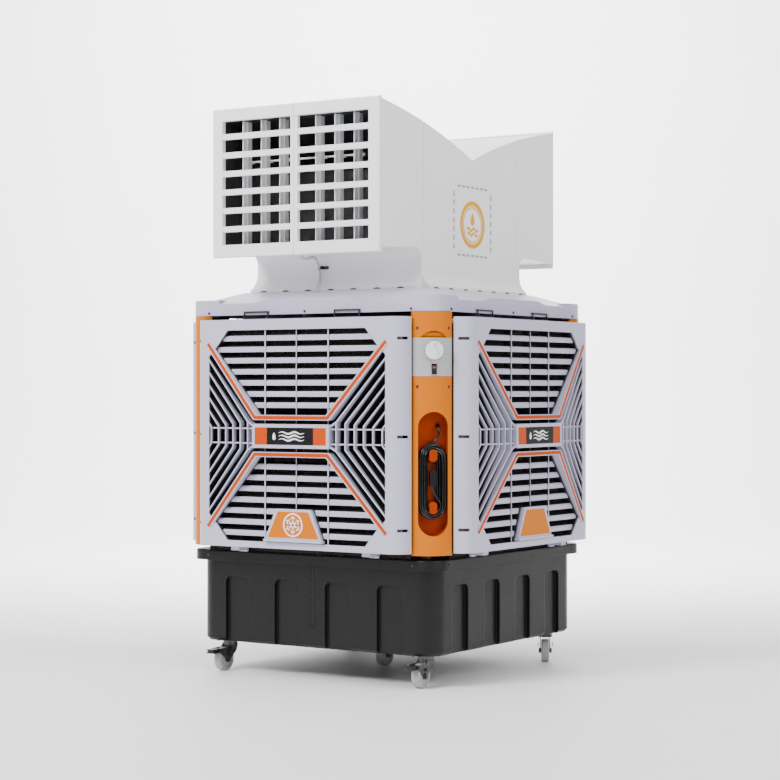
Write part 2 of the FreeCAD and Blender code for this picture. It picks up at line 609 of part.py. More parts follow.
def panel_tray():
    """Shell of the louvre panel: face, rolled edges, walls behind them, and two feet on the tank's rim."""
    edge_end = -PANEL_FACE + PANEL_EDGE_R
    outer = moved(edge_profile(0.0, edge_end), 0, 0,
            PANEL_BOTTOM).extrude(V(0, 0, PANEL_TOP - PANEL_BOTTOM))
    inner = moved(edge_profile(PANEL_WALL, edge_end + 1), 0, 0, PANEL_BOTTOM + PANEL_WALL)
    inner = inner.extrude(V(0, 0, PANEL_TOP - PANEL_BOTTOM - 2 * PANEL_WALL))
    half = PANEL_FLAT_HALF + 10
    frame = box(-half, half, -PANEL_FACE + PANEL_WALL, -RETURN_END, PANEL_BOTTOM, PANEL_TOP)
    room = box(-half + PANEL_WALL, half - PANEL_WALL, -PANEL_FACE, -RETURN_END + 1,
               PANEL_BOTTOM + PANEL_WALL, PANEL_TOP - PANEL_WALL)
    tray = outer.cut(inner).fuse(frame.cut(room))
    opening = prism_xz(opening_outline(), -PANEL_FACE - 1, -LOUVRE_BACK)
    wall = prism_xz(opening_outline(PANEL_WALL), -PANEL_FACE + 0.5, -LOUVRE_BACK)
    notches = []
    for side in (-1, 1):
        x0, x1 = sorted((side * NOTCH_INNER, side * NOTCH_OUTER))
        for z in NOTCH_HEIGHTS:
            notches.append(box(x0, x1, -PANEL_FACE - 20, -PANEL_FACE + 37, z - NOTCH_HALF, z + NOTCH_HALF))
    tray = tray.fuse(wall).cut(fuse([opening] + notches))
    feet = [box(x - FOOT_HALF, x + FOOT_HALF, -PANEL_FACE + 25, -TANK_RIM_HALF + 8, TANK_TOP,
            PANEL_BOTTOM + 2)
            for x in (-FOOT_PLACE, FOOT_PLACE)]
    under = box(-PANEL_FLAT_HALF, PANEL_FLAT_HALF, -PANEL_FACE, -TANK_RIM_HALF, TANK_TOP - 1, TANK_TOP + 6)
    feet = [foot.cut(under) for foot in feet]
    return [tray] + feet


def ridge_lines():
    return [((sx * RIDGE_OUT[0], sz * RIDGE_OUT[1]), (sx * RIDGE_IN[0], sz * RIDGE_IN[1]))
            for sx in (-1, 1) for sz in (-1, 1)]


def panel_ridges():
    bars = []
    for outer, inner in ridge_lines():
        bars.append(ridge(outer, inner, RIDGE_WIDTH, LOUVRE_BACK, PANEL_FACE + RIDGE_LIFT,
                PANEL_FACE + PEAK))
    for sz in (-1, 1):
        ends = (RIDGE_IN[0] + 6, sz * RIDGE_IN[1])
        bars.append(ridge((-ends[0], ends[1]), ends, RIDGE_WIDTH - 4, LOUVRE_BACK, PANEL_FACE + PEAK,
                PANEL_FACE + PEAK))
    return bars


def accent_strips():
    """One bent strip above and one below the name plate, following the ridges."""
    strips = []
    for sz in (-1, 1):
        pieces = []
        for sx in (-1, 1):
            outer = (sx * RIDGE_OUT[0], sz * RIDGE_OUT[1])
            inner = (sx * RIDGE_IN[0], sz * RIDGE_IN[1])
            front = INLAY_PROUD
            back = PANEL_FACE - INLAY_DEPTH
            whole = ridge(outer, inner, STRIP_WIDTH, back, PANEL_FACE + RIDGE_LIFT + front,
                    PANEL_FACE + PEAK + front)
            below = ridge(outer, inner, STRIP_WIDTH + 2, back - 4, PANEL_FACE + RIDGE_LIFT - INLAY_DEPTH,
                          PANEL_FACE + PEAK - INLAY_DEPTH)
            pieces.append(whole.cut(below))
        z = PANEL_CENTRE_Z + sz * RIDGE_IN[1]
        pieces.append(box(-RIDGE_IN[0], RIDGE_IN[0], -PANEL_FACE - PEAK - INLAY_PROUD,
                -PANEL_FACE - PEAK + INLAY_DEPTH,
                          z - STRIP_WIDTH / 2, z + STRIP_WIDTH / 2))
        joint_half = STRIP_WIDTH / 2
        for sx in (-1, 1):
            pieces.append(Part.makeCylinder(joint_half, INLAY_PROUD + INLAY_DEPTH,
                                            V(sx * RIDGE_IN[0], -PANEL_FACE - PEAK - INLAY_PROUD,
                                                    z), V(0, 1, 0)))
        strips.append(fuse(pieces))
    return strips


def name_frame():
    hx, hz = PLATE_FRAME
    z = PANEL_CENTRE_Z
    front = PANEL_FACE + PEAK + PLATE_LIFT
    outer = box(-hx, hx, -front, -LOUVRE_BACK, z - hz, z + hz)
    corners = [e for e in outer.Edges if abs(e.BoundBox.YLength - (front - LOUVRE_BACK)) < 0.1]
    outer = outer.makeFillet(6.0, corners)
    hollow = box(-hx + 5, hx - 5, -front + 8, -LOUVRE_BACK + 1, z - hz + 5, z + hz - 5)
    seat = box(-PLATE[0], PLATE[0], -front - 1, -front + INLAY_DEPTH, z - PLATE[1], z + PLATE[1])
    return outer.cut(fuse([hollow, seat]))


def name_plate():
    front = PANEL_FACE + PEAK + PLATE_LIFT
    z = PANEL_CENTRE_Z
    return box(-PLATE[0], PLATE[0], -front - 0.5, -front + INLAY_DEPTH, z - PLATE[1], z + PLATE[1])


def slats():
    bars = []
    front = PANEL_FACE - LOUVRE_RECESS
    for sz in (-1, 1):
        for i in range(SLAT_COUNT):
            height = SLAT_FIRST + i * SLAT_PITCH
            half = ridge_x(height)
            if height > BEVEL_LOW:
                run = (height - BEVEL_LOW) / (OPENING_HALF_HEIGHT - BEVEL_LOW)
                half = BEVEL_HALF - run * (BEVEL_HALF - OPENING_TOP_HALF) + PANEL_WALL
            z = PANEL_CENTRE_Z + sz * height
            low = z - SLAT_HEIGHT / 2
            outline = [(-front, low), (-front, low + SLAT_HEIGHT - 6),
                    (-front + 2.5, low + SLAT_HEIGHT - 1),
                       (-LOUVRE_BACK, low + SLAT_HEIGHT + SLAT_DROP), (-LOUVRE_BACK,
                               low + SLAT_HEIGHT + SLAT_DROP - 5),
                       (-front + 5, low + 2)]
            bars.append(prism_yz(outline, -half, half))
    return bars


def mullions():
    bars = []
    front = PANEL_FACE - LOUVRE_RECESS + 2
    for x, width in MULLIONS:
        for sz in (-1, 1):
            z0, z1 = sorted((PANEL_CENTRE_Z + sz * (PLATE_FRAME[1] - 2),
                    PANEL_CENTRE_Z + sz * (OPENING_HALF_HEIGHT + 2)))
            bars.append(box(x - width / 2, x + width / 2, -front, -LOUVRE_BACK, z0, z1))
    return bars


def chevrons():
    bars = []
    slope = (RIDGE_OUT[1] - RIDGE_IN[1]) / (RIDGE_OUT[0] - RIDGE_IN[0])
    edge = OPENING_SIDE_HALF + 2
    for side in (-1, 1):
        for i in range(CHEVRON_COUNT):
            x = CHEVRON_FIRST + i * CHEVRON_PITCH
            bend = CHEVRON_BEND - CHEVRON_BEND_STEP * i
            front = pyramid_front(x)
            bars.append(box(side * x - RIB / 2, side * x + RIB / 2, -front, -LOUVRE_BACK,
                            PANEL_CENTRE_Z - bend, PANEL_CENTRE_Z + bend))
            for sz in (-1, 1):
                end = (side * edge, sz * (bend + (edge - x) * slope))
                bars.append(ridge(end, (side * x, sz * bend), RIB, LOUVRE_BACK, pyramid_front(edge), front))
        for sz in (-1, 1):
            start = PLATE_FRAME[0] - 2
            bars.append(ridge((side * edge, sz * 23.0), (side * start, sz * 23.0), RIB, LOUVRE_BACK,
                              pyramid_front(edge) - 5, pyramid_front(start) - 5))
            bars.append(ridge((side * (CHEVRON_FIRST + 2), sz * 46.0), (side * start, sz * 30.0), RIB,
                    LOUVRE_BACK,
                              pyramid_front(CHEVRON_FIRST), PANEL_FACE + PEAK - 2))
    return bars


def badge_outline(inset):
    slope = (BADGE_BOTTOM_HALF - BADGE_TOP_HALF) / (BADGE_TOP - BADGE_BOTTOM)
    top_half = BADGE_TOP_HALF - inset
    bottom_half = BADGE_BOTTOM_HALF - inset - 0.3 * inset * slope
    z_top = PANEL_CENTRE_Z + BADGE_TOP - inset * 0.8
    z_bottom = PANEL_CENTRE_Z + BADGE_BOTTOM + inset
    return [(-top_half, z_top), (top_half, z_top), (bottom_half, z_bottom), (-bottom_half, z_bottom)]


def badge_base():
    front = PANEL_FACE + BADGE_PROUD
    block = prism_xz(badge_outline(0.0), -front, -PANEL_FACE + 20)
    pocket = prism_xz(badge_outline(BADGE_EDGE), -front - 1, -front + INLAY_DEPTH)
    hollow = prism_xz(badge_outline(5.0), -front + 7, -PANEL_FACE + 21)
    ledge = box(-BADGE_BOTTOM_HALF - 3, BADGE_BOTTOM_HALF + 3, -front - 5, -PANEL_FACE + 20,
                PANEL_CENTRE_Z + BADGE_BOTTOM - 3, PANEL_CENTRE_Z + BADGE_BOTTOM + 4)
    return block.cut(fuse([pocket, hollow])).fuse(ledge)


def badge_inlay():
    front = PANEL_FACE + BADGE_PROUD
    return prism_xz(badge_outline(BADGE_EDGE), -front - 0.5, -front + INLAY_DEPTH)


def grille_panel():
    ridges = fuse(panel_ridges())
    body = fuse(panel_tray() + slats() + mullions() + chevrons() + [ridges, name_frame(), badge_base()])
    solids = sorted(body.cut(fuse(accent_strips())).Solids, key=lambda s: -s.Volume)
    return solids[0]


# ---------------------------------------------------------------- corner posts and columns
def corner_posts():
    posts = []
    inner = POST_OUTER - POST_WIDTH
    for sx in (-1, 1):
        for sy in (-1, 1):
            x0, x1 = sorted((sx * inner, sx * POST_OUTER))
            y0, y1 = sorted((sy * inner, sy * POST_OUTER))
            tube = box(x0, x1, y0, y1, TANK_TOP, LID_BOTTOM)
            w = POST_WALL
            posts.append(tube.cut(box(x0 + w, x1 - w, y0 + w, y1 - w, TANK_TOP - 1, LID_BOTTOM + 1)))
    return posts


def cover_face():
    """Plan of a convex column cover facing -Y: an arc band with short side returns."""
    half = COLUMN_HALF_WIDTH
    crest = -COLUMN_CREST
    edge = -COLUMN_EDGE
    w = COLUMN_WALL
    back = -COLUMN_BACK
    outer = Part.Wire([Part.Arc(V(-half, edge, 0), V(0, crest, 0), V(half, edge, 0)).toShape(),
                       Part.makeLine(V(half, edge, 0), V(half, back, 0)),
                       Part.makeLine(V(half, back, 0), V(-half, back, 0)),
                       Part.makeLine(V(-half, back, 0), V(-half, edge, 0))])
    inner = Part.Wire([Part.Arc(V(-half + w, edge + w, 0), V(0, crest + w, 0),
            V(half - w, edge + w, 0)).toShape(),
                       Part.makeLine(V(half - w, edge + w, 0), V(half - w, back + 1, 0)),
                       Part.makeLine(V(half - w, back + 1, 0), V(-half + w, back + 1, 0)),
                       Part.makeLine(V(-half + w, back + 1, 0), V(-half + w, edge + w, 0))])
    return Part.Face(outer), Part.Face(inner)


def column_shell(z0, z1):
    outer, inner = cover_face()
    return moved(outer, 0, 0, z0).extrude(V(0, 0, z1 - z0)).cut(moved(inner, 0, 0,
            z0 - 1).extrude(V(0, 0, z1 - z0 + 2)))


def column_solid(z0, z1):
    outer, inner = cover_face()
    return moved(outer, 0, 0, z0).extrude(V(0, 0, z1 - z0))


def shelf(z):
    """Horizontal web of a column cover, notched round the corner post that carries it."""
    plate = box(-SHELF_HALF, SHELF_HALF, -COLUMN_EDGE, -COLUMN_BACK + 24, z, z + SHELF)
    corner = POST_OUTER * math.sqrt(2)
    notch = prism_xy([(0, -corner), (2 * SHELF_HALF, -corner + 2 * SHELF_HALF),
            (-2 * SHELF_HALF, -corner + 2 * SHELF_HALF)],
                     z - 1, z + SHELF + 1)
    return plate.cut(notch)


def corner_covers():
    full = fuse([column_shell(COLUMN_BOTTOM, COLUMN_TOP), shelf(COLUMN_BOTTOM), shelf(COLUMN_TOP - SHELF)])
    plain = [turned(full, a) for a in (-45.0, 135.0, 225.0)]
    top = column_shell(CONTROL_TOP + SEAM, COLUMN_TOP).fuse(shelf(COLUMN_TOP - SHELF))
    scallop = Part.makeCylinder(COVER_SCALLOP_R, 80, V(0, -COLUMN_CREST - 10, CONTROL_TOP - 32), V(0, 1, 0))
    return plain + [on_column(top.cut(scallop))]


def stadium(half_width, bottom, top, y0, y1, x=0.0):
    """Slot with round ends, cut through between y0 and y1."""
    r = half_width
    wire = Part.Wire([Part.makeLine(V(x - r, y0, bottom + r), V(x - r, y0, top - r)),
                      Part.Arc(V(x - r, y0, top - r), V(x, y0, top), V(x + r, y0, top - r)).toShape(),
                      Part.makeLine(V(x + r, y0, top - r), V(x + r, y0, bottom + r)),
                      Part.Arc(V(x + r, y0, bottom + r), V(x, y0, bottom),
                              V(x - r, y0, bottom + r)).toShape()])
    return Part.Face(wire).extrude(V(0, y1 - y0, 0))


def cord_storage_cover():
    """Lower cover of the control column with the rounded pocket and its two winding cleats."""
    shell = fuse([column_shell(COLUMN_BOTTOM, CONTROL_BOTTOM), shelf(COLUMN_BOTTOM),
            shelf(CONTROL_BOTTOM - SHELF)])
    pocket_outer = stadium(RECESS_HALF_WIDTH + 3, RECESS_BOTTOM - 3, RECESS_TOP + 3, -COLUMN_CREST + 2,
            -RECESS_FLOOR + 3)
    pocket_outer = pocket_outer.common(column_solid(COLUMN_BOTTOM, CONTROL_BOTTOM))
    pocket = stadium(RECESS_HALF_WIDTH, RECESS_BOTTOM, RECESS_TOP, -COLUMN_CREST - 5, -RECESS_FLOOR)
    cleats = []
    front = -COIL_FRONT - 1
    for z, towards in ((COIL_BOTTOM + COIL_HALF, -1), (COIL_TOP - COIL_HALF, 1)):
        cleats.append(Part.makeCylinder(CLEAT_R, -RECESS_FLOOR + 2 - front, V(0, front, z), V(0, 1, 0)))
        ends = sorted((z - towards * CLEAT_R, z + towards * CLEAT_HEAD_REACH))
        cleats.append(stadium(CLEAT_R, ends[0], ends[1], front - CLEAT_HEAD_THICKNESS, front))
    gland = Part.makeCylinder(GLAND_R, GLAND_LENGTH + 1,
            V(GLAND_U, -RECESS_FLOOR - GLAND_LENGTH, GLAND_Z), V(0, 1, 0))
    return on_column(shell.fuse(pocket_outer).cut(pocket).fuse(fuse(cleats + [gland])))


def control_panel():
    """Grey instrument panel with a flat round seat for the knob and a framed switch opening."""
    shell = fuse([column_shell(CONTROL_BOTTOM + SEAM, CONTROL_TOP), shelf(CONTROL_BOTTOM + SEAM),
            shelf(CONTROL_TOP - SHELF)])
    seat = Part.makeCylinder(KNOB_RING_R, 18, V(0, -PANEL_CREST - 3, KNOB_Z), V(0, 1, 0))
    tab = box(-6, 6, -PANEL_CREST - 2, -PANEL_CREST + 12, KNOB_Z - KNOB_RING_R - 8,
            KNOB_Z - KNOB_RING_R + 6)
    bezel = box(-SWITCH_HALF_WIDTH - 2.5, SWITCH_HALF_WIDTH + 2.5, -PANEL_CREST - 1.5, -COLUMN_CREST + 14,
                SWITCH_Z - SWITCH_HALF_HEIGHT - 2.5, SWITCH_Z + SWITCH_HALF_HEIGHT + 2.5)
    dish = Part.makeCylinder(KNOB_R + 1.0, 6, V(0, -PANEL_CREST - 4, KNOB_Z), V(0, 1, 0))
    bore = Part.makeCylinder(KNOB_SEAT_R + FIT, 60, V(0, -PANEL_CREST - 10, KNOB_Z), V(0, 1, 0))
    window = box(-SWITCH_HALF_WIDTH - 0.4, SWITCH_HALF_WIDTH + 0.4, -PANEL_CREST - 5, -COLUMN_CREST + 20,
                 SWITCH_Z - SWITCH_HALF_HEIGHT - 0.6, SWITCH_Z + SWITCH_HALF_HEIGHT + 0.6)
    pivot = rod(SWITCH_PIN_R + FIT, (-SWITCH_HALF_WIDTH - 2.2, -COLUMN_CREST + 6, SWITCH_Z),
                (SWITCH_HALF_WIDTH + 2.2, -COLUMN_CREST + 6, SWITCH_Z))
    return on_column(shell.fuse(fuse([seat, tab, bezel])).cut(fuse([dish, bore, window, pivot])))


def speed_knob():
    face = Part.makeCylinder(KNOB_R, 9, V(0, -PANEL_CREST - 7.5, KNOB_Z), V(0, 1, 0))
    face = face.makeFillet(2.0, [e for e in face.Edges if e.BoundBox.YMax < -PANEL_CREST - 7])
    grip = box(-4.5, 4.5, -PANEL_CREST - 14, -PANEL_CREST - 6, KNOB_Z - KNOB_R + 3, KNOB_Z + KNOB_R - 3)
    stem = Part.makeCylinder(KNOB_SEAT_R, 22, V(0, -PANEL_CREST + 1, KNOB_Z), V(0, 1, 0))
    return on_column(fuse([face, grip, stem]))


def power_switch():
    """Rocker, pivoting about its middle and resting on its lower stop; its ends rise as a shallow V."""
    y = -COLUMN_CREST + 6
    h = SWITCH_HALF_HEIGHT - 2.0
    outline = [(y - 11.5, SWITCH_Z + h), (y - 8.0, SWITCH_Z), (y - 11.5, SWITCH_Z - h),
            (y - 2, SWITCH_Z - h),
               (y + 4, SWITCH_Z - 5), (y + 4, SWITCH_Z + 5), (y - 2, SWITCH_Z + h)]
    body = prism_yz(outline, -SWITCH_HALF_WIDTH, SWITCH_HALF_WIDTH)
    pin = rod(SWITCH_PIN_R, (-SWITCH_HALF_WIDTH - 2.0, y, SWITCH_Z), (SWITCH_HALF_WIDTH + 2.0, y, SWITCH_Z))
    rocker = body.fuse(pin)
    rocker.rotate(V(0, y, SWITCH_Z), V(1, 0, 0), ROCKER_TILT)
    return on_column(rocker)


# ---------------------------------------------------------------- mains cord, wound on the cleats
def rounded_path(points, radii):
    """Straight runs joined by tangent arcs; radii has one value for each inner point."""
    edges = []
    start = points[0]
    for i in range(1, len(points) - 1):
        corner = points[i]
        before = (points[i - 1] - corner).normalize()
        after = (points[i + 1] - corner).normalize()
        half = math.acos(max(-1.0, min(1.0, -before.dot(after)))) / 2
        cut = radii[i - 1] * math.tan(half)
        first = corner + before * cut
        last = corner + after * cut
        bisector = (before + after).normalize()
        middle = corner + bisector * (radii[i - 1] / math.cos(half) - radii[i - 1])
        edges.append(Part.makeLine(start, first))
        edges.append(Part.Arc(first, middle, last).toShape())
        start = last
    edges.append(Part.makeLine(start, points[-1]))
    return Part.Wire(edges)


def largest_radii(points):
    radii = []
    for i in range(1, len(points) - 1):
        a = points[i] - points[i - 1]
        b = points[i + 1] - points[i]
        turn = a.getAngle(b)
        radii.append(0.45 * min(a.Length, b.Length) / math.tan(turn / 2))
    return radii


def cord_tube(points, r, label):
    corners = [V(*p) for p in points]
    radii = largest_radii(corners)
    print(label, "bend radii", " ".join("%.0f" % x for x in radii))
    path = rounded_path(corners, radii)
    tangent = corners[1] - corners[0]
    circle = Part.Wire(Part.Circle(corners[0], tangent, r).toShape())
    tube = path.makePipeShell([circle], True, True)
    print(label, "volume share", round(tube.Volume / (math.pi * r * r * path.Length), 3), "length",
            round(path.Length))
    return tube


# (place across the cover, distance from the centre axis, height)


def power_cord_lead():
    """The mains lead from its gland in the pocket's floor to the winding, and its tail to the plug."""
    runs = [[(u, -r, z) for u, r, z in points] for points in (LEAD_POINTS, TAIL_POINTS)]
    return [on_column(cord_tube(points, CORD_R, "mains lead")) for points in runs]


def power_cord_coil():
    outer = stadium(COIL_HALF, COIL_BOTTOM, COIL_TOP, -COIL_FRONT, -COIL_BACK)
    bundle = COIL_HALF - COIL_INNER_HALF
    hole = stadium(COIL_INNER_HALF, COIL_BOTTOM + bundle, COIL_TOP - bundle, -COIL_FRONT - 1,
            -COIL_BACK + 1)
    return outer.cut(hole)


# ---------------------------------------------------------------- pads and water circuit
def cooling_pads():
    pad = box(-PAD_HALF_WIDTH, PAD_HALF_WIDTH, -PAD_OUTER, -PAD_OUTER + PAD_THICKNESS, TANK_TOP, PAD_TOP)
    return [turned(pad, a) for a in SIDES.values()]


def water_pump():
    floor = TANK_BOTTOM + TANK_WALL
    base = cylinder(PUMP_R + 10, floor, floor + 26, PUMP_PLACE, PUMP_PLACE)
    body = cylinder(PUMP_R, floor + 26, floor + 120, PUMP_PLACE, PUMP_PLACE)
    cap = cylinder(PUMP_R - 8, floor + 120, floor + 132, PUMP_PLACE, PUMP_PLACE)
    spout = rod(PIPE_R + RISER_SOCKET, (PUMP_PLACE, PUMP_PLACE, floor + 14),
            (RISER_PLACE, RISER_PLACE, floor + 14))
    riser_foot = cylinder(PIPE_R + RISER_SOCKET, floor, floor + 40, RISER_PLACE, RISER_PLACE)
    body = fuse([base, body, cap, spout, riser_foot])
    return body.cut(cylinder(PIPE_R + 0.3, floor + 8, floor + 41, RISER_PLACE, RISER_PLACE))


def water_pipes():
    """Riser from the pump and the square ring that wets the tops of the pads."""
    floor = TANK_BOTTOM + TANK_WALL
    x = RISER_PLACE
    y = RISER_PLACE
    riser = cylinder(PIPE_R, floor + 9, PIPE_Z, x, y)
    elbow = Part.makeSphere(PIPE_R, V(x, y, PIPE_Z))
    branch = rod(PIPE_R, (x, y, PIPE_Z), (PIPE_HALF, y, PIPE_Z))
    h = PIPE_HALF
    ring = []
    corners = [(-h, -h), (h, -h), (h, h), (-h, h)]
    for i, (cx, cy) in enumerate(corners):
        nx, ny = corners[(i + 1) % 4]
        ring.append(rod(PIPE_R, (cx, cy, PIPE_Z), (nx, ny, PIPE_Z)))
        ring.append(Part.makeSphere(PIPE_R, V(cx, cy, PIPE_Z)))
    return fuse([riser, elbow, branch] + ring)


# ---------------------------------------------------------------- lid, fan
def lid_block(inset):
    wall = rounded_block(LID_HALF - inset, LID_HALF - inset, LID_CORNER_R - inset, LID_BOTTOM,
            LID_EDGE - inset * 0.3)
    low = rounded_wire(LID_HALF - inset, LID_HALF - inset, LID_CORNER_R - inset, LID_EDGE - inset * 0.3)
    high = rounded_wire(LID_DECK_HALF - inset * 0.3, LID_DECK_HALF - inset * 0.3, 30.0, LID_DECK - inset)
    return wall.fuse(Part.makeLoft([low, high], True, True))


def lid_shoulders():
    """Raised wavy bands along the lid's edge: high at the middle and at both corners of each side."""
    depth = (SHOULDER_Z - LID_EDGE) / (LID_DECK - LID_EDGE) * (LID_HALF - LID_DECK_HALF)
    low = LID_EDGE - 4
    bands = []
    right = [(SHOULDER_FOOT, low), (SHOULDER_FOOT, LID_EDGE), (SHOULDER_CREST, SHOULDER_Z)]
    middle = right + [(-x, z) for x, z in reversed(right)]
    band = prism_xz(middle, -LID_HALF, -LID_HALF + depth + 4)
    for angle in SIDES.values():
        bands.append(turned(band, angle))
    corner = rounded_block(LID_HALF, LID_HALF, LID_CORNER_R, low, SHOULDER_Z)
    keep = []
    for sx in (-1, 1):
        for sy in (-1, 1):
            x0, x1 = sorted((sx * SHOULDER_CORNER, sx * (LID_HALF + 26)))
            y0, y1 = sorted((sy * SHOULDER_CORNER, sy * (LID_HALF + 26)))
            keep.append(box(x0, x1, y0, y1, low, SHOULDER_Z))
    return bands + [corner.common(fuse(keep))]


def top_lid():
    outer = lid_block(0.0).fuse(fuse(lid_shoulders()))
    hollow = lid_block(LID_WALL)
    hollow = hollow.fuse(rounded_block(LID_HALF - LID_WALL, LID_HALF - LID_WALL, LID_CORNER_R - LID_WALL,
                                       LID_BOTTOM - 1, LID_BOTTOM + 1))
    shell = outer.cut(hollow)
    inner = POST_OUTER - POST_WIDTH - POST_SOCKET
    outside = POST_OUTER + POST_SOCKET
    sockets = []
    for sx in (-1, 1):
        for sy in (-1, 1):
            x0, x1 = sorted((sx * inner, sx * outside))
            y0, y1 = sorted((sy * inner, sy * outside))
            sockets.append(box(x0, x1, y0, y1, LID_BOTTOM, LID_DECK))
    socket = fuse(sockets)
    x, y, z = LID_GLAND
    gland = cylinder(SWING_LEAD_R + 3, LID_EDGE + 20, z, x, y)
    shell = shell.fuse(socket.common(outer)).fuse(gland)
    return shell.cut(cylinder(FAN_R, LID_EDGE, LID_DECK + 1))


def fan_shroud():
    """Ring with a top flange under the lid's deck and a four-armed seat for the motor."""
    top = LID_DECK - LID_WALL
    ring = cylinder(FAN_R + SHROUD_WALL, SHROUD_BOTTOM,
            top).cut(cylinder(FAN_R, SHROUD_BOTTOM - 1, top + 1))
    flange = cylinder(FAN_R + SHROUD_FLANGE, top - 4, top).cut(cylinder(FAN_R, top - 5, top + 1))
    arms = []
    for i in range(4):
        arm = box(MOTOR_R - 20, FAN_R + 2, -9, 9, SHROUD_BOTTOM, SHROUD_BOTTOM + SPIDER_THICKNESS)
        arms.append(turned(arm, 45 + 90 * i))
    seat = cylinder(MOTOR_R + 8, SHROUD_BOTTOM, SHROUD_BOTTOM + SPIDER_THICKNESS)
    bore = cylinder(MOTOR_BOSS_R + 0.5, SHROUD_BOTTOM - 1, SHROUD_BOTTOM + SPIDER_THICKNESS + 1)
    return fuse([ring, flange, seat] + arms).cut(bore)


def fan_motor():
    can = cylinder(MOTOR_R, MOTOR_BOTTOM, SHROUD_BOTTOM)
    can = can.makeFillet(8.0, [e for e in can.Edges if e.BoundBox.ZMax < MOTOR_BOTTOM + 0.1])
    boss = cylinder(MOTOR_BOSS_R, SHROUD_BOTTOM - 1, SHROUD_BOTTOM + 12)
    fin = box(MOTOR_R - 2, MOTOR_R + 5, -1.5, 1.5, MOTOR_BOTTOM + 20, SHROUD_BOTTOM - 10)
    fins = [turned(fin, 360.0 / FIN_COUNT * i) for i in range(FIN_COUNT)]
    body = fuse([can, boss] + fins)
    return body.cut(cylinder(SHAFT_R + FIT, MOTOR_BOTTOM + 10, SHROUD_BOTTOM + 13))


def blade():
    tip = FAN_R - FAN_TIP_GAP
    stations = []
    for r, chord, pitch in ((HUB_R - 4, 62.0, 42.0), ((HUB_R + tip) / 2, 96.0, 30.0), (tip, 128.0, 20.0)):
        half = chord / 2
        a = math.radians(pitch)
        t = 1.8
        corners = []
        for c, n in ((-half, -t), (half, -t), (half, t), (-half, t)):
            z = (HUB_BOTTOM + HUB_TOP) / 2 + c * math.sin(a) + n * math.cos(a)
            corners.append(V(r, c * math.cos(a) - n * math.sin(a), z))
        stations.append(Part.makePolygon(corners + corners[:1]))
    return Part.makeLoft(stations, True, True)


def fan_impeller():
    hub = cylinder(HUB_R, HUB_BOTTOM, HUB_TOP)
    hub = hub.makeFillet(8.0, [e for e in hub.Edges if e.BoundBox.ZMin > HUB_TOP - 0.1])
    blades = [turned(blade(), 360.0 / BLADE_COUNT * i) for i in range(BLADE_COUNT)]
    wheel = fuse([hub] + blades)
    limit = cylinder(FAN_R - FAN_TIP_GAP, HUB_BOTTOM - 20, HUB_TOP + 20)
    wheel = wheel.common(limit).cut(cylinder(SHAFT_R, HUB_BOTTOM - 1, HUB_TOP + 1))
    shaft = cylinder(SHAFT_R, MOTOR_BOTTOM + 12, HUB_TOP)
    return [wheel, shaft]


# ---------------------------------------------------------------- duct and outlets
def duct_profile(inset, y_end):
    """Side outline of the twin-mouth duct, drawn in the YZ plane; inset moves every wall inwards."""
    t = inset
    base = DUCT_BASE_HALF - t
    neck = DUCT_NECK_HALF - t
    z0 = LID_DECK
    floor = DUCT_FLOOR + t
    top = DUCT_TOP - t
    notch = DUCT_NOTCH - t
    right = []
    right.append(Part.makeLine(V(0, base, z0), V(0, base, z0 + 8 + 0.4 * t)))
    a = V(0, base, z0 + 8 + 0.4 * t)
    b = V(0, neck, z0 + 68)
    right.append(Part.Arc(a, V(0, neck + 0.32 * (base - neck), z0 + 30 + 0.3 * t), b).toShape())
    c = V(0, neck, DUCT_NECK_TOP + 0.2 * t)
    right.append(Part.makeLine(b, c))
    d = V(0, DUCT_FLOOR_START, floor + 10)
    right.append(Part.Arc(c, V(0, neck + 13.0, DUCT_FLOOR + 1.0 + 0.8 * t), d).toShape())
    e = V(0, y_end, floor)
    right.append(Part.makeLine(d, e))
    f = V(0, y_end, top)
    right.append(Part.makeLine(e, f))
    g = V(0, 0, notch)
    right.append(Part.Arc(f, V(0, y_end * 0.5, notch + (top - notch) * 0.62), g).toShape())
    left = [edge.mirror(V(0, 0, 0), V(0, 1, 0)) for edge in right]
    bottom = Part.makeLine(V(0, -base, z0), V(0, base, z0))
    return Part.Face(Part.Wire(Part.__sortEdges__(right + left + [bottom])))


def duct_block(inset, y_end):
    half = DUCT_HALF_WIDTH - inset
    block = moved(duct_profile(inset, y_end), -half).extrude(V(2 * half, 0, 0))
    return block


def duct_skirt(inset):
    """Coved foot that widens the neck to the square base, on the two X sides."""
    z0 = LID_DECK
    base = DUCT_BASE_HALF - inset
    neck = DUCT_HALF_WIDTH - inset
    a = V(base, 0, z0 + 8 + 0.4 * inset)
    b = V(neck, 0, z0 + DUCT_SIDE_NECK)
    edges = [Part.makeLine(V(0, 0, z0), V(base, 0, z0)), Part.makeLine(V(base, 0, z0), a),
             Part.Arc(a, V(neck + 0.3 * (base - neck), 0, z0 + 28 + 0.3 * inset), b).toShape(),
             Part.makeLine(b, V(0, 0, z0 + DUCT_SIDE_NECK)), Part.makeLine(V(0, 0,
                     z0 + DUCT_SIDE_NECK), V(0, 0, z0))]
    face = Part.Face(Part.Wire(edges))
    skirt = moved(face, 0, -DUCT_NECK_HALF + inset, 0).extrude(V(0, 2 * (DUCT_NECK_HALF - inset), 0))
    return [skirt, mirrored_x(skirt)]


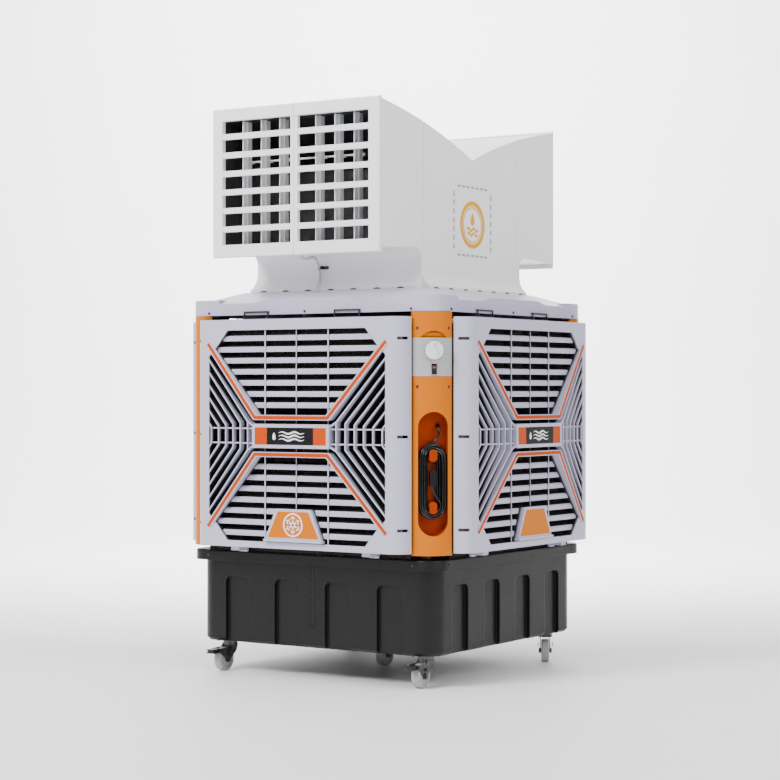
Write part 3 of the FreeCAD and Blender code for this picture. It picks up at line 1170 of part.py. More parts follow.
def duct_trim():
    """Shallow raised ribs and a dashed rounded frame on each side wall."""
    pieces = []
    for sy in (-1, 1):
        pieces.append(box(DUCT_HALF_WIDTH - 1, DUCT_HALF_WIDTH + 2.5, sy * TRIM_RIB_Y - 8,
                sy * TRIM_RIB_Y + 8,
                          TRIM_RIB_BOTTOM, TRIM_RIB_TOP))
    hy, hz = EMBLEM_HALF
    for i in range(-3, 4):
        for sz in (-1, 1):
            z = EMBLEM_Z + sz * hz
            pieces.append(box(DUCT_HALF_WIDTH - 1, DUCT_HALF_WIDTH + 2, i * DASH_PITCH - 8,
                    i * DASH_PITCH + 8,
                              z - 3, z + 3))
        for sy in (-1, 1):
            y = sy * hy
            pieces.append(box(DUCT_HALF_WIDTH - 1, DUCT_HALF_WIDTH + 2, y - 3, y + 3,
                              EMBLEM_Z + i * DASH_PITCH - 8, EMBLEM_Z + i * DASH_PITCH + 8))
    return pieces + [mirrored_x(p) for p in pieces]


def outlet_duct():
    outer = fuse([duct_block(0.0, DUCT_MOUTH)] + duct_skirt(0.0))
    inner = fuse([duct_block(DUCT_WALL, DUCT_MOUTH + 5)] + duct_skirt(DUCT_WALL))
    hole = rounded_block(DUCT_NECK_HALF - DUCT_WALL, DUCT_NECK_HALF - DUCT_WALL, 6.0, LID_DECK - 1,
            LID_DECK + 20)
    x, y, z = DUCT_GLAND
    gland = cylinder(SWING_LEAD_R + 4, z, z + 8, x, y)
    shell = outer.fuse(fuse(duct_trim() + [gland])).cut(inner.fuse(hole))
    return sorted(shell.Solids, key=lambda s: -s.Volume)[0]


def bar_heights():
    pitch = (OUTLET_OPEN_TOP - OUTLET_OPEN_BOTTOM + BAR_HEIGHT) / (BAR_COUNT + 1)
    return [OUTLET_OPEN_BOTTOM - BAR_HEIGHT / 2 + pitch * (i + 1) for i in range(BAR_COUNT)]


def vane_places():
    right = [VANE_FIRST + i * VANE_PITCH for i in range(3)]
    return [-x for x in reversed(right)] + right


def outlet_grille():
    """Frame, six fixed bars, mullion and the sleeve that carries the vane pivots; faces -Y."""
    back = DUCT_MOUTH
    frame = box(-OUTLET_HALF, OUTLET_HALF, -OUTLET_FACE, -back, OUTLET_BOTTOM, OUTLET_TOP)
    frame = frame.makeFillet(5.0, [e for e in frame.Edges if e.BoundBox.YMax < -OUTLET_FACE + 0.1])
    opening = box(-OUTLET_OPEN_HALF, OUTLET_OPEN_HALF, -OUTLET_FACE - 1, -back + 1, OUTLET_OPEN_BOTTOM,
            OUTLET_OPEN_TOP)
    w = SLEEVE_WALL
    sleeve = box(-OUTLET_OPEN_HALF - w, OUTLET_OPEN_HALF + w, -back - 1, -SLEEVE_END,
            OUTLET_OPEN_BOTTOM - w, OUTLET_OPEN_TOP + w)
    bore = box(-OUTLET_OPEN_HALF, OUTLET_OPEN_HALF, -back - 2, -SLEEVE_END + 1, OUTLET_OPEN_BOTTOM,
            OUTLET_OPEN_TOP)
    bars = [box(-OUTLET_OPEN_HALF - 1, OUTLET_OPEN_HALF + 1, -OUTLET_FACE + 2, -back,
            z - BAR_HEIGHT / 2, z + BAR_HEIGHT / 2)
            for z in bar_heights()]
    mullion = box(-MULLION_WIDTH / 2, MULLION_WIDTH / 2, -OUTLET_FACE + 1, -back,
            OUTLET_OPEN_BOTTOM - 1, OUTLET_OPEN_TOP + 1)
    body = frame.cut(opening).fuse(sleeve.cut(bore)).fuse(fuse(bars + [mullion]))
    holes = [cylinder(PIVOT_R + FIT, OUTLET_OPEN_BOTTOM - 6, OUTLET_OPEN_TOP + 6, x, -VANE_PLANE)
            for x in vane_places()]
    seam = box(-1.0, 1.0, -OUTLET_FACE - 1, -OUTLET_FACE + 2.5, OUTLET_BOTTOM - 1, OUTLET_TOP + 1)
    return body.cut(fuse(holes + [seam]))


def vane(x):
    half = VANE_CHORD / 2
    t = VANE_THICKNESS / 2
    z0 = OUTLET_OPEN_BOTTOM + VANE_END_GAP
    z1 = OUTLET_OPEN_TOP - VANE_END_GAP
    plate = box(x - t, x + t, -VANE_PLANE - half, -VANE_PLANE + half, z0, z1)
    spine = cylinder(PIVOT_R + 1.5, z0, z1, x, -VANE_PLANE)
    pin = cylinder(PIVOT_R, OUTLET_OPEN_BOTTOM - SLEEVE_WALL + 0.5,
            OUTLET_OPEN_TOP + SLEEVE_WALL - 0.5, x, -VANE_PLANE)
    low = CRANK_Z - LINK_HEIGHT - 3.5
    ear = box(x - 4.5, x + 4.5, -VANE_PLANE + half - 1, -VANE_PLANE + CRANK_R, low, low + 3)
    eye = cylinder(4.5, low, low + 3, x, -VANE_PLANE + CRANK_R)
    crank = cylinder(PIVOT_R - 1, low, CRANK_Z + 1.5, x, -VANE_PLANE + CRANK_R)
    return fuse([plate, spine, pin, ear, eye, crank])


def vane_link():
    """Flat bar that joins the six crank pins, one clear hole for each."""
    y = -VANE_PLANE + CRANK_R
    ends = vane_places()
    low = CRANK_Z - LINK_HEIGHT
    bar = box(ends[0], ends[-1], y - LINK_WIDTH / 2, y + LINK_WIDTH / 2, low, CRANK_Z)
    caps = [cylinder(LINK_WIDTH / 2, low, CRANK_Z, x, y) for x in (ends[0], ends[-1])]
    holes = [cylinder(PIVOT_R - 1 + (FIT if i == 0 else CRANK_FIT), low - 1, CRANK_Z + 1, x, y) for i,
            x in enumerate(ends)]
    return fuse([bar] + caps).cut(fuse(holes))


def swing_motors():
    """Flat synchronous motor under each outlet sleeve, its output on a vane pivot."""
    z = OUTLET_OPEN_BOTTOM - SLEEVE_WALL
    disc = cylinder(MOTOR_DISC_R, z - MOTOR_DISC_HEIGHT, z, VANE_FIRST, -VANE_PLANE)
    ears = box(VANE_FIRST - MOTOR_DISC_R - 8, VANE_FIRST + MOTOR_DISC_R + 8, -VANE_PLANE - 6,
            -VANE_PLANE + 6, z - 2, z)
    motor = disc.fuse(ears)
    return [motor, turned(motor, 180)]


def swing_motor_lead():
    """Lead of the front swing motor, from the duct's underside over the neck and into the lid."""
    return cord_tube(SWING_LEAD, SWING_LEAD_R, "swing lead")


def lead_clip():
    """P-clip that ties the swing lead to the duct's neck."""
    x, y, z = CLIP_POINT
    low = z + 1
    high = z + 11
    ring = cylinder(SWING_LEAD_R + 2.5, low, high, x,
            y).cut(cylinder(SWING_LEAD_R + 0.8, low - 1, high + 1, x, y))
    tab = box(x + SWING_LEAD_R + 1.5, x + 26, -DUCT_NECK_HALF - 3, -DUCT_NECK_HALF, low, high)
    arm = box(x + SWING_LEAD_R + 1.2, x + SWING_LEAD_R + 4.2, y, -DUCT_NECK_HALF, low, high)
    return fuse([ring, tab, arm])


# ---------------------------------------------------------------- clips and screws


def panel_clip(x):
    """Wire bail on the lid's side that comes down over the panel's top edge."""
    y = -LID_HALF - CLIP_STANDOFF
    r = CLIP_WIRE_R
    low = CLIP_LOW
    high = CLIP_HIGH
    parts = [rod(r, (x - CLIP_HALF, y, high), (x + CLIP_HALF, y, high))]
    for side in (-1, 1):
        parts.append(rod(r, (x + side * CLIP_HALF, y, low), (x + side * CLIP_HALF, y, high)))
        parts.append(Part.makeSphere(r, V(x + side * CLIP_HALF, y, high)))
        parts.append(Part.makeSphere(r, V(x + side * CLIP_HALF, y, low)))
        parts.append(rod(r, (x + side * CLIP_HALF, y, high), (x + side * CLIP_HALF, -LID_HALF, high)))
    parts.append(rod(r, (x - CLIP_HALF, y, low), (x + CLIP_HALF, y, low)))
    return fuse(parts)


def panel_clips():
    return [turned(panel_clip(x), a) for a in SIDES.values() for x in CLIP_PLACES] + [lead_clip()]


def screw(y, x, z, r=4.0, proud=1.8):
    return Part.makeCylinder(r, proud, V(x, y - proud, z), V(0, 1, 0))


def screws():
    lid = [turned(screw(-LID_HALF, x, LID_SCREW_Z), a) for a in SIDES.values() for x in LID_SCREWS]
    rim = [turned(screw(-TANK_RIM_HALF, x, (TANK_RIM_BOTTOM + TANK_TOP) / 2, 3.5), a)
           for a in SIDES.values() for x in (-RIM_SCREW, RIM_SCREW)]
    crest = COLUMN_CREST
    cover = []
    r = (COLUMN_HALF_WIDTH ** 2 + (crest - COLUMN_EDGE) ** 2) / (2 * (crest - COLUMN_EDGE))
    drop = r - math.sqrt(r * r - SCREW_U ** 2)
    for z in COVER_SCREW_HEIGHTS:
        for u in (-SCREW_U, SCREW_U):
            cover.append(on_column(Part.makeCylinder(4.5, 3.5, V(u, -crest + drop - 1.2, z), V(0, 1, 0))))
    return lid + rim, cover


def plug_body():
    """Mains plug, tucked upright between the turns of the winding, pins up."""
    top = PLUG_FOOT + PLUG_LENGTH
    body = box(-PLUG_HALF_WIDTH, PLUG_HALF_WIDTH, -COIL_FRONT - 8, -COIL_FRONT + 12, PLUG_FOOT, top)
    body = body.makeFillet(5.0, [e for e in body.Edges if e.BoundBox.ZLength > 40])
    pins = [Part.makeCylinder(2.4, 19, V(x, -COIL_FRONT + 2, top - 1), UP) for x in (-6, 6)]
    return body.fuse(fuse(pins))


# ---------------------------------------------------------------- build
def main():
    os.makedirs("parts", exist_ok=True)
    save("water_tank", water_tank())
    save("level_window", level_window())
    save("tank_fittings", tank_fittings())
    save("float_arm", float_arm())
    ears, ear_hole = pedal_ears()
    save("caster_plates", [moved(caster_plate(), x, y) for x, y in caster_places().values()])
    for name in caster_places():
        fork, axle = caster_fork()
        if name in PEDALLED:
            fork = fork.fuse(ears).cut(ear_hole)
            save("brake_pedal_" + name, placed_caster(brake_pedal(), name))
        save("caster_fork_" + name, [placed_caster(fork, name), placed_caster(axle, name)])
        save("caster_wheel_" + name, placed_caster(caster_wheel(), name))
    save("corner_posts", corner_posts())
    panel = grille_panel()
    plates = []
    inlays = []
    for side, angle in SIDES.items():
        save("grille_panel_" + side, turned(panel, angle))
        plates.append(turned(name_plate(), angle))
        inlays += [turned(s, angle) for s in accent_strips()] + [turned(badge_inlay(), angle)]
    save("name_plates", plates)
    save("accent_inlays", inlays)
    save("cooling_pads", cooling_pads())
    save("water_pump", water_pump())
    save("water_pipes", water_pipes())
    save("corner_covers", corner_covers())
    save("cord_storage_cover", cord_storage_cover())
    save("control_panel", control_panel())
    save("speed_knob", speed_knob())
    save("power_switch", power_switch())
    save("power_cord_coil", on_column(power_cord_coil()))
    save("power_cord_lead", power_cord_lead())
    save("power_plug", on_column(plug_body()))
    save("top_lid", top_lid())
    save("fan_shroud", fan_shroud())
    save("fan_motor", fan_motor())
    save("fan_impeller", fan_impeller())
    save("outlet_duct", outlet_duct())
    for side, angle in (("front", 0.0), ("back", 180.0)):
        save("outlet_grille_" + side, turned(outlet_grille(), angle))
        for i, x in enumerate(vane_places()):
            save("%s_vane_%d" % (side, i + 1), turned(vane(x), angle))
        save(side + "_vane_link", turned(vane_link(), angle))
    save("swing_motors", swing_motors())
    save("swing_motor_lead", swing_motor_lead())
    save("panel_clips", panel_clips())
    fixed, covers = screws()
    save("screws", fixed + covers)


main()
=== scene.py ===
import json
import math

import bmesh
import bpy
from mathutils import Matrix, Vector


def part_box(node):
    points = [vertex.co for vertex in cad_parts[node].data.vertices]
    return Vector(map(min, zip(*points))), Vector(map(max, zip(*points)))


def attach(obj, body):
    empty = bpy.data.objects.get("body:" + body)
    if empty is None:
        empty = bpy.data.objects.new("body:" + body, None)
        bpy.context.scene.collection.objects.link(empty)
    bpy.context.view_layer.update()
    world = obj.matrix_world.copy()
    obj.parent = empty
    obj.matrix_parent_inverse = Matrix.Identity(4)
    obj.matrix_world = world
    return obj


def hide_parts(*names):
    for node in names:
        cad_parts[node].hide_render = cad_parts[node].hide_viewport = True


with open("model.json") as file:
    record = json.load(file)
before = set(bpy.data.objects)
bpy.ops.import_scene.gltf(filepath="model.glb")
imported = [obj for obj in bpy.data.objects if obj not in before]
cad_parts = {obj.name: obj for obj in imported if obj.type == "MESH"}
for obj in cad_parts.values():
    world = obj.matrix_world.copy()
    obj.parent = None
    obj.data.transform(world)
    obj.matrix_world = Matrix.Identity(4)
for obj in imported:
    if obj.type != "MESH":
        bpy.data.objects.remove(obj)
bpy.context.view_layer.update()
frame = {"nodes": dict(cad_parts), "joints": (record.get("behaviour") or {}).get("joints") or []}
NODES = frame["nodes"]

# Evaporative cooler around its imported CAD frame.  Metres, +Z up, -Y the front, control column on (+X, -Y).
SIDES = {"front": 0.0, "right": 90.0, "back": 180.0, "left": 270.0}
COLUMN_TURN = 45.0


# ---------------------------------------------------------------- camera
CAMERA_PLACE = (3.796, -5.806, 0.908)
CAMERA_AZIMUTH = 33.18
CAMERA_LENS = 96.75
SENSOR = 36.0


def make_camera():
    data = bpy.data.cameras.new("camera")
    data.sensor_width = SENSOR
    data.lens = CAMERA_LENS
    data.clip_end = 60.0
    camera = bpy.data.objects.new("camera", data)
    camera.location = CAMERA_PLACE
    camera.rotation_euler = (math.radians(90.0), 0.0, math.radians(CAMERA_AZIMUTH))
    bpy.context.scene.collection.objects.link(camera)
    bpy.context.scene.camera = camera


make_camera()


# ---------------------------------------------------------------- small tools
def link(name, mesh, body, material):
    obj = bpy.data.objects.new(name, mesh)
    bpy.context.scene.collection.objects.link(obj)
    obj.data.materials.append(material)
    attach(obj, body)
    return obj


def mesh_from(name, vertices, faces, smooth=False):
    mesh = bpy.data.meshes.new(name)
    mesh.from_pydata([tuple(v) for v in vertices], [], faces)
    bm = bmesh.new()
    bm.from_mesh(mesh)
    bmesh.ops.recalc_face_normals(bm, faces=bm.faces)
    bm.to_mesh(mesh)
    bm.free()
    for face in mesh.polygons:
        face.use_smooth = smooth
    return mesh


def bevelled(obj, width, segments=2):
    modifier = obj.modifiers.new("soft_edges", "BEVEL")
    modifier.width = width
    modifier.segments = segments
    modifier.limit_method = "ANGLE"
    return obj


def plaque(outlines, place, height):
    """Vertices and faces of flat shapes, each outline a list of (across, up), raised by height.
    place(across, out, up) gives the world point."""
    vertices = []
    faces = []
    for outline in outlines:
        n = len(outline)
        start = len(vertices)
        vertices += [place(a, 0.0, b) for a, b in outline]
        vertices += [place(a, height, b) for a, b in outline]
        faces.append(list(range(start, start + n)))
        faces.append(list(range(start + n, start + 2 * n)))
        for i in range(n):
            j = (i + 1) % n
            faces.append([start + i, start + j, start + n + j, start + n + i])
    return vertices, faces


def bar(start, end, width):
    """Four corners of a straight bar between two points of the plane."""
    dx = end[0] - start[0]
    dy = end[1] - start[1]
    length = math.hypot(dx, dy)
    nx = -dy / length * width / 2
    ny = dx / length * width / 2
    return [(start[0] + nx, start[1] + ny), (start[0] - nx, start[1] - ny),
            (end[0] - nx, end[1] - ny), (end[0] + nx, end[1] + ny)]


def on_circle(radius, angle):
    return (radius * math.cos(angle), radius * math.sin(angle))


def ring_pieces(outer, inner, count=40):
    """A flat ring as a closed run of four-cornered pieces."""
    pieces = []
    for i in range(count):
        a = 2 * math.pi * i / count
        b = 2 * math.pi * (i + 1) / count
        pieces.append([on_circle(outer, a), on_circle(outer, b), on_circle(inner, b), on_circle(inner, a)])
    return pieces


def wall_place(distance, angle, across=0.0, up=0.0):
    """Places a plaque on a wall that faces -Y turned by angle, at a distance from the centre axis."""
    turn = Matrix.Rotation(math.radians(angle), 4, "Z")

    def place(a, out, b):
        return turn @ Vector((across + a, -distance - out, up + b))

    return place


def column_point(u, r, z):
    """World point, in metres, of a point on the control column given in millimetres."""
    half = math.sqrt(0.5) / 1000.0
    return Vector(((u + r) * half, (u - r) * half, z / 1000.0))


def islands(node):
    """Centre, lowest corner and highest corner of every separate solid of a CAD node."""
    bm = bmesh.new()
    bm.from_mesh(NODES[node].data)
    bmesh.ops.remove_doubles(bm, verts=bm.verts, dist=1e-6)
    bm.verts.ensure_lookup_table()
    seen = set()
    found = []
    for first in bm.verts:
        if first.index in seen:
            continue
        stack = [first]
        group = []
        seen.add(first.index)
        while stack:
            vertex = stack.pop()
            group.append(vertex.co.copy())
            for edge in vertex.link_edges:
                other = edge.other_vert(vertex)
                if other.index not in seen:
                    seen.add(other.index)
                    stack.append(other)
        low = Vector([min(p[i] for p in group) for i in range(3)])
        high = Vector([max(p[i] for p in group) for i in range(3)])
        found.append(((low + high) / 2, low, high))
    bm.free()
    return found


# ---------------------------------------------------------------- materials
class Shader:
    """A Principled material that grows node by node."""

    def __init__(self, name, roughness, **sockets):
        self.material = bpy.data.materials.new(name)
        self.material.use_nodes = True
        self.nodes = self.material.node_tree.nodes
        self.links = self.material.node_tree.links
        self.surface = self.nodes["Principled BSDF"]
        self.surface.inputs["Roughness"].default_value = roughness
        for socket, value in sockets.items():
            self.surface.inputs[socket.replace("_", " ")].default_value = value
        self.place = self.nodes.new("ShaderNodeTexCoord").outputs["Object"]

    def noise(self, scale, detail=4.0, rough=0.55):
        node = self.nodes.new("ShaderNodeTexNoise")
        node.inputs["Scale"].default_value = scale
        node.inputs["Detail"].default_value = detail
        node.inputs["Roughness"].default_value = rough
        self.links.new(self.place, node.inputs["Vector"])
        return node.outputs["Fac"]

    def ramp(self, value, stops):
        node = self.nodes.new("ShaderNodeValToRGB")
        elements = node.color_ramp.elements
        while len(elements) < len(stops):
            elements.new(0.5)
        for element, (position, colour) in zip(elements, stops):
            element.position = position
            element.color = (*colour, 1.0)
        self.links.new(value, node.inputs["Fac"])
        return node.outputs["Color"]

    def maths(self, kind, a, b=None, clamp=False):
        node = self.nodes.new("ShaderNodeMath")
        node.operation = kind
        node.use_clamp = clamp
        for socket, value in ((node.inputs[0], a), (node.inputs[1], b)):
            if value is None:
                continue
            if isinstance(value, (int, float)):
                socket.default_value = value
            else:
                self.links.new(value, socket)
        return node.outputs[0]

    def mix(self, share, first, second):
        node = self.nodes.new("ShaderNodeMix")
        node.data_type = "RGBA"
        self.links.new(share, node.inputs[0])
        for socket, value in ((node.inputs[6], first), (node.inputs[7], second)):
            if isinstance(value, tuple):
                socket.default_value = (*value, 1.0)
            else:
                self.links.new(value, socket)
        return node.outputs[2]

    def axes(self):
        node = self.nodes.new("ShaderNodeSeparateXYZ")
        self.links.new(self.place, node.inputs[0])
        return node.outputs[0], node.outputs[1], node.outputs[2]

    def normal_axes(self):
        """The three parts of the surface's own direction, along the world's axes."""
        node = self.nodes.new("ShaderNodeSeparateXYZ")
        geometry = self.nodes.new("ShaderNodeNewGeometry")
        self.links.new(geometry.outputs["Normal"], node.inputs[0])
        return node.outputs[0], node.outputs[1], node.outputs[2]

    def along_wall(self):
        """Distance from the middle of whichever of the four walls the point is on, and its height."""
        x, y, z = self.axes()
        return self.maths("MINIMUM", self.maths("ABSOLUTE", x), self.maths("ABSOLUTE", y)), z

    def colour(self, value):
        self.links.new(value, self.surface.inputs["Base Color"])

    def gloss(self, value, low, high):
        node = self.nodes.new("ShaderNodeMapRange")
        node.inputs["To Min"].default_value = low
        node.inputs["To Max"].default_value = high
        self.links.new(value, node.inputs["Value"])
        self.links.new(node.outputs[0], self.surface.inputs["Roughness"])

    def relief(self, value, strength, distance, edge=0.0):
        bump = self.nodes.new("ShaderNodeBump")
        bump.inputs["Strength"].default_value = strength
        bump.inputs["Distance"].default_value = distance
        self.links.new(value, bump.inputs["Height"])
        if edge:
            soft = self.nodes.new("ShaderNodeBevel")
            soft.samples = 4
            soft.inputs["Radius"].default_value = edge
            self.links.new(soft.outputs[0], bump.inputs["Normal"])
        self.links.new(bump.outputs[0], self.surface.inputs["Normal"])


def shade(colour, factor):
    return tuple(min(1.0, c * factor) for c in colour)


def cloudy(s, noise, colour, low, high):
    """A colour that drifts between two shades of itself."""
    return s.ramp(noise, [(0.3, shade(colour, low)), (0.7, shade(colour, high))])


def moulded(name, colour, roughness, grain=900.0, depth=0.00008, edge=0.0012, spread=0.05, **sockets):
    """Moulded or painted plastic: faint cloudy colour, uneven gloss, fine grain and softened edges."""
    s = Shader(name, roughness, **sockets)
    s.colour(cloudy(s, s.noise(3.5, 5.0), colour, 1 - spread, 1 + spread))
    s.gloss(s.noise(26.0), roughness - 0.05, roughness + 0.07)
    s.relief(s.noise(grain, 2.0), 0.35, depth, edge)
    return s.material


SILVER = (0.500, 0.480, 0.620)
ORANGE = (0.620, 0.158, 0.000)
# painted shade inside the cord pocket, a deeper red
POCKET_SHADE = (0.330, 0.032, 0.000)
STRIP = (0.520, 0.060, 0.000)
BADGE = ORANGE
DARK_TANK = (0.0055, 0.0055, 0.0058)
WHITE = (0.900, 0.900, 0.905)
GREY = (0.400, 0.400, 0.405)
BLACK = (0.008, 0.008, 0.009)
# painted shade for the louvre moulding deep in its opening
SHADED = (0.016, 0.016, 0.019)
# painted shade for the insides of the duct and the outlet sleeve
INSIDE_SHADE = (0.030, 0.031, 0.034)
LOUVRE_MIDDLE = 0.765
# depths at which the louvre's painted shade starts, and how fast it fades in
LOUVRE_FRONT_SHADE = 0.522
LOUVRE_SIDE_SHADE = 0.541
LOUVRE_SHADE_FADE = 0.008
DUCT_NECK_TOP = 1.300
DUCT_AXIS = 1.500
COLUMN_SKIN = 0.6435
COLUMN_CURVE = 5.6
LOUVRE_OPENING_HALF = 0.337
LOUVRE_OPENING_HEIGHT = 0.334
TRIM_PLANE = 0.3173
DASH_HALF = 0.13
DASH_MIDDLE = 1.45
DASH_GREY = (0.36, 0.36, 0.37)
SLEEVE_FRONT = 0.5285
POCKET_HALF = 0.0468
POCKET_BOTTOM = 0.465
POCKET_TOP = 0.844
POCKET_FADE = 0.006
BADGE_HALF = 0.118
BADGE_TOP = 0.545
PLATE_CENTRE_HALF = 0.088


def inlay_material():
    """Red-orange strips; the trapezoid badges low in the middle of each wall are a warmer orange."""
    s = Shader("inlay_paint", 0.32, Specular_IOR_Level=0.12)
    across, z = s.along_wall()
    low = s.maths("LESS_THAN", z, BADGE_TOP)
    middle = s.maths("LESS_THAN", across, BADGE_HALF)
    s.colour(s.mix(s.maths("MULTIPLY", low, middle), STRIP, BADGE))
    s.gloss(s.noise(30.0), 0.28, 0.38)
    s.relief(s.noise(700.0, 2.0), 0.25, 0.00006, 0.0008)
    return s.material


def louvre_material():
    """Silver louvre panel with painted shade: the moulding turns dark deeper in the opening, where shade
    falls.
    """
    s = Shader("louvre_silver", 0.34, Coat_Weight=0.12)
    silver = cloudy(s, s.noise(3.5, 5.0), SILVER, 0.97, 1.03)
    x, y, z = s.axes()
    across = s.maths("ABSOLUTE", x)
    along = s.maths("ABSOLUTE", y)
    depth = s.maths("MAXIMUM", across, along)
    tangent = s.maths("MINIMUM", across, along)
    nx, ny, _ = s.normal_axes()
    on_x = s.maths("GREATER_THAN", across, along)
    facing = s.maths("ADD", s.maths("MULTIPLY", on_x, s.maths("ABSOLUTE", nx)),
                     s.maths("MULTIPLY", s.maths("SUBTRACT", 1.0, on_x), s.maths("ABSOLUTE", ny)))
    limit = s.maths("SUBTRACT", LOUVRE_SIDE_SHADE,
                    s.maths("MULTIPLY", facing, LOUVRE_SIDE_SHADE - LOUVRE_FRONT_SHADE))
    # painted shade: the moulding deep in the opening is mixed towards dark grey
    deep = s.maths("MULTIPLY", s.maths("SUBTRACT", limit, depth), 1 / LOUVRE_SHADE_FADE, clamp=True)
    height = s.maths("ABSOLUTE", s.maths("SUBTRACT", z, LOUVRE_MIDDLE))
    opening = s.maths("MULTIPLY", s.maths("LESS_THAN", tangent, LOUVRE_OPENING_HALF),
                      s.maths("LESS_THAN", height, LOUVRE_OPENING_HEIGHT))
    s.colour(s.mix(s.maths("MULTIPLY", deep, opening), silver, SHADED))
    s.gloss(s.noise(26.0), 0.30, 0.42)
    s.relief(s.noise(1100.0, 2.0), 0.3, 0.00006, 0.0012)
    return s.material


def duct_material():
    """White duct; its inside is painted shade in dark grey, and the dashes of the frame on its side walls are
    pale grey.
    """
    s = Shader("duct_white", 0.36)
    white = cloudy(s, s.noise(3.0, 5.0), WHITE, 0.985, 1.015)
    x, y, z = s.axes()
    nx, ny, nz = s.normal_axes()
    upper = s.maths("GREATER_THAN", z, DUCT_NECK_TOP)
    rise = s.maths("MULTIPLY", s.maths("SUBTRACT", z, DUCT_AXIS), nz)
    outward = s.maths("ADD", s.maths("MULTIPLY", x, nx), s.maths("MULTIPLY", upper, rise))
    neck = s.maths("MULTIPLY", s.maths("SUBTRACT", 1.0, upper), s.maths("MULTIPLY", y, ny))
    # painted shade: the duct's inner faces go dark grey
    inner = s.maths("LESS_THAN", s.maths("ADD", outward, neck), -0.02)
    proud = s.maths("GREATER_THAN", s.maths("ABSOLUTE", x), TRIM_PLANE)
    near = s.maths("LESS_THAN", s.maths("ABSOLUTE", y), DASH_HALF)
    height = s.maths("LESS_THAN", s.maths("ABSOLUTE", s.maths("SUBTRACT", z, DASH_MIDDLE)), DASH_HALF)
    dash = s.maths("MULTIPLY", proud, s.maths("MULTIPLY", near, height))
    trimmed = s.mix(dash, white, DASH_GREY)
    s.colour(s.mix(inner, trimmed, INSIDE_SHADE))
    s.gloss(s.noise(26.0), 0.31, 0.43)
    s.relief(s.noise(1000.0, 2.0), 0.3, 0.00006, 0.0020)
    return s.material


def outlet_material():
    """White outlet frame and bars; the sleeve behind them is painted dark grey as shade."""
    s = Shader("outlet_white", 0.34)
    _, y, _ = s.axes()
    # painted shade: the sleeve behind the bars goes dark grey
    sleeve = s.maths("LESS_THAN", s.maths("ABSOLUTE", y), SLEEVE_FRONT)
    white = cloudy(s, s.noise(3.0, 5.0), WHITE, 0.99, 1.02)
    s.colour(s.mix(sleeve, white, INSIDE_SHADE))
    s.gloss(s.noise(26.0), 0.29, 0.40)
    s.relief(s.noise(1000.0, 2.0), 0.3, 0.00006, 0.0014)
    return s.material


def column_material():
    """Orange column cover, with painted shade in a deeper red inside the cord pocket."""
    s = Shader("column_orange", 0.33, Specular_IOR_Level=0.12)
    orange = cloudy(s, s.noise(3.5, 5.0), ORANGE, 0.96, 1.04)
    x, y, z = s.axes()
    u = s.maths("MULTIPLY", s.maths("ADD", x, y), math.sqrt(0.5))
    r = s.maths("MULTIPLY", s.maths("SUBTRACT", x, y), math.sqrt(0.5))
    crest = s.maths("SUBTRACT", COLUMN_SKIN, s.maths("MULTIPLY", s.maths("MULTIPLY", u, u), COLUMN_CURVE))
    # painted shade: the sunk faces inside the pocket are mixed towards the deeper red
    sunk = s.maths("MULTIPLY", s.maths("SUBTRACT", crest, r), 1 / POCKET_FADE, clamp=True)
    inside = s.maths("LESS_THAN", s.maths("ABSOLUTE", u), POCKET_HALF)
    low = s.maths("GREATER_THAN", z, POCKET_BOTTOM)
    high = s.maths("LESS_THAN", z, POCKET_TOP)
    share = s.maths("MULTIPLY", s.maths("MULTIPLY", sunk, inside), s.maths("MULTIPLY", low, high))
    s.colour(s.mix(share, orange, POCKET_SHADE))
    s.gloss(s.noise(26.0), 0.28, 0.40)
    s.relief(s.noise(1000.0, 2.0), 0.3, 0.00006, 0.0015)
    return s.material


def plate_material():
    """Name plate print: black middle between two red-orange ends."""
    s = Shader("plate_print", 0.26, Specular_IOR_Level=0.30)
    across, _ = s.along_wall()
    s.colour(s.mix(s.maths("GREATER_THAN", across, PLATE_CENTRE_HALF), BLACK, STRIP))
    s.gloss(s.noise(40.0), 0.18, 0.30)
    s.relief(s.noise(500.0, 2.0), 0.2, 0.00005, 0.0006)
    return s.material


def pad_material():
    """Dark wetted cellulose pad, its flutes crossing at a slant."""
    s = Shader("pad_paper", 0.85)
    x, y, z = s.axes()
    slant = s.maths("ADD", s.maths("ADD", x, y), s.maths("MULTIPLY", z, 1.2))
    wave = s.maths("SINE", s.maths("MULTIPLY", slant, 480.0))
    cloud = s.noise(9.0, 6.0)
    s.colour(s.ramp(cloud, [(0.3, (0.010, 0.008, 0.006)), (0.7, (0.040, 0.030, 0.020))]))
    s.relief(s.maths("ADD", wave, cloud), 0.9, 0.002)
    return s.material


def zinc_material():
    s = Shader("zinc_steel", 0.34, Metallic=1.0)
    s.colour(s.ramp(s.noise(60.0, 6.0), [(0.3, (0.06, 0.06, 0.063)), (0.7, (0.16, 0.16, 0.165))]))
    s.gloss(s.noise(110.0), 0.24, 0.46)
    s.relief(s.noise(420.0, 3.0), 0.3, 0.0001, 0.0006)
    return s.material


def rubber_material(name, colour, roughness):
    s = Shader(name, roughness)
    s.colour(cloudy(s, s.noise(45.0, 4.0), colour, 0.8, 1.25))
    s.gloss(s.noise(60.0), roughness - 0.06, roughness + 0.08)
    s.relief(s.noise(1400.0, 2.0), 0.25, 0.00005)
    return s.material


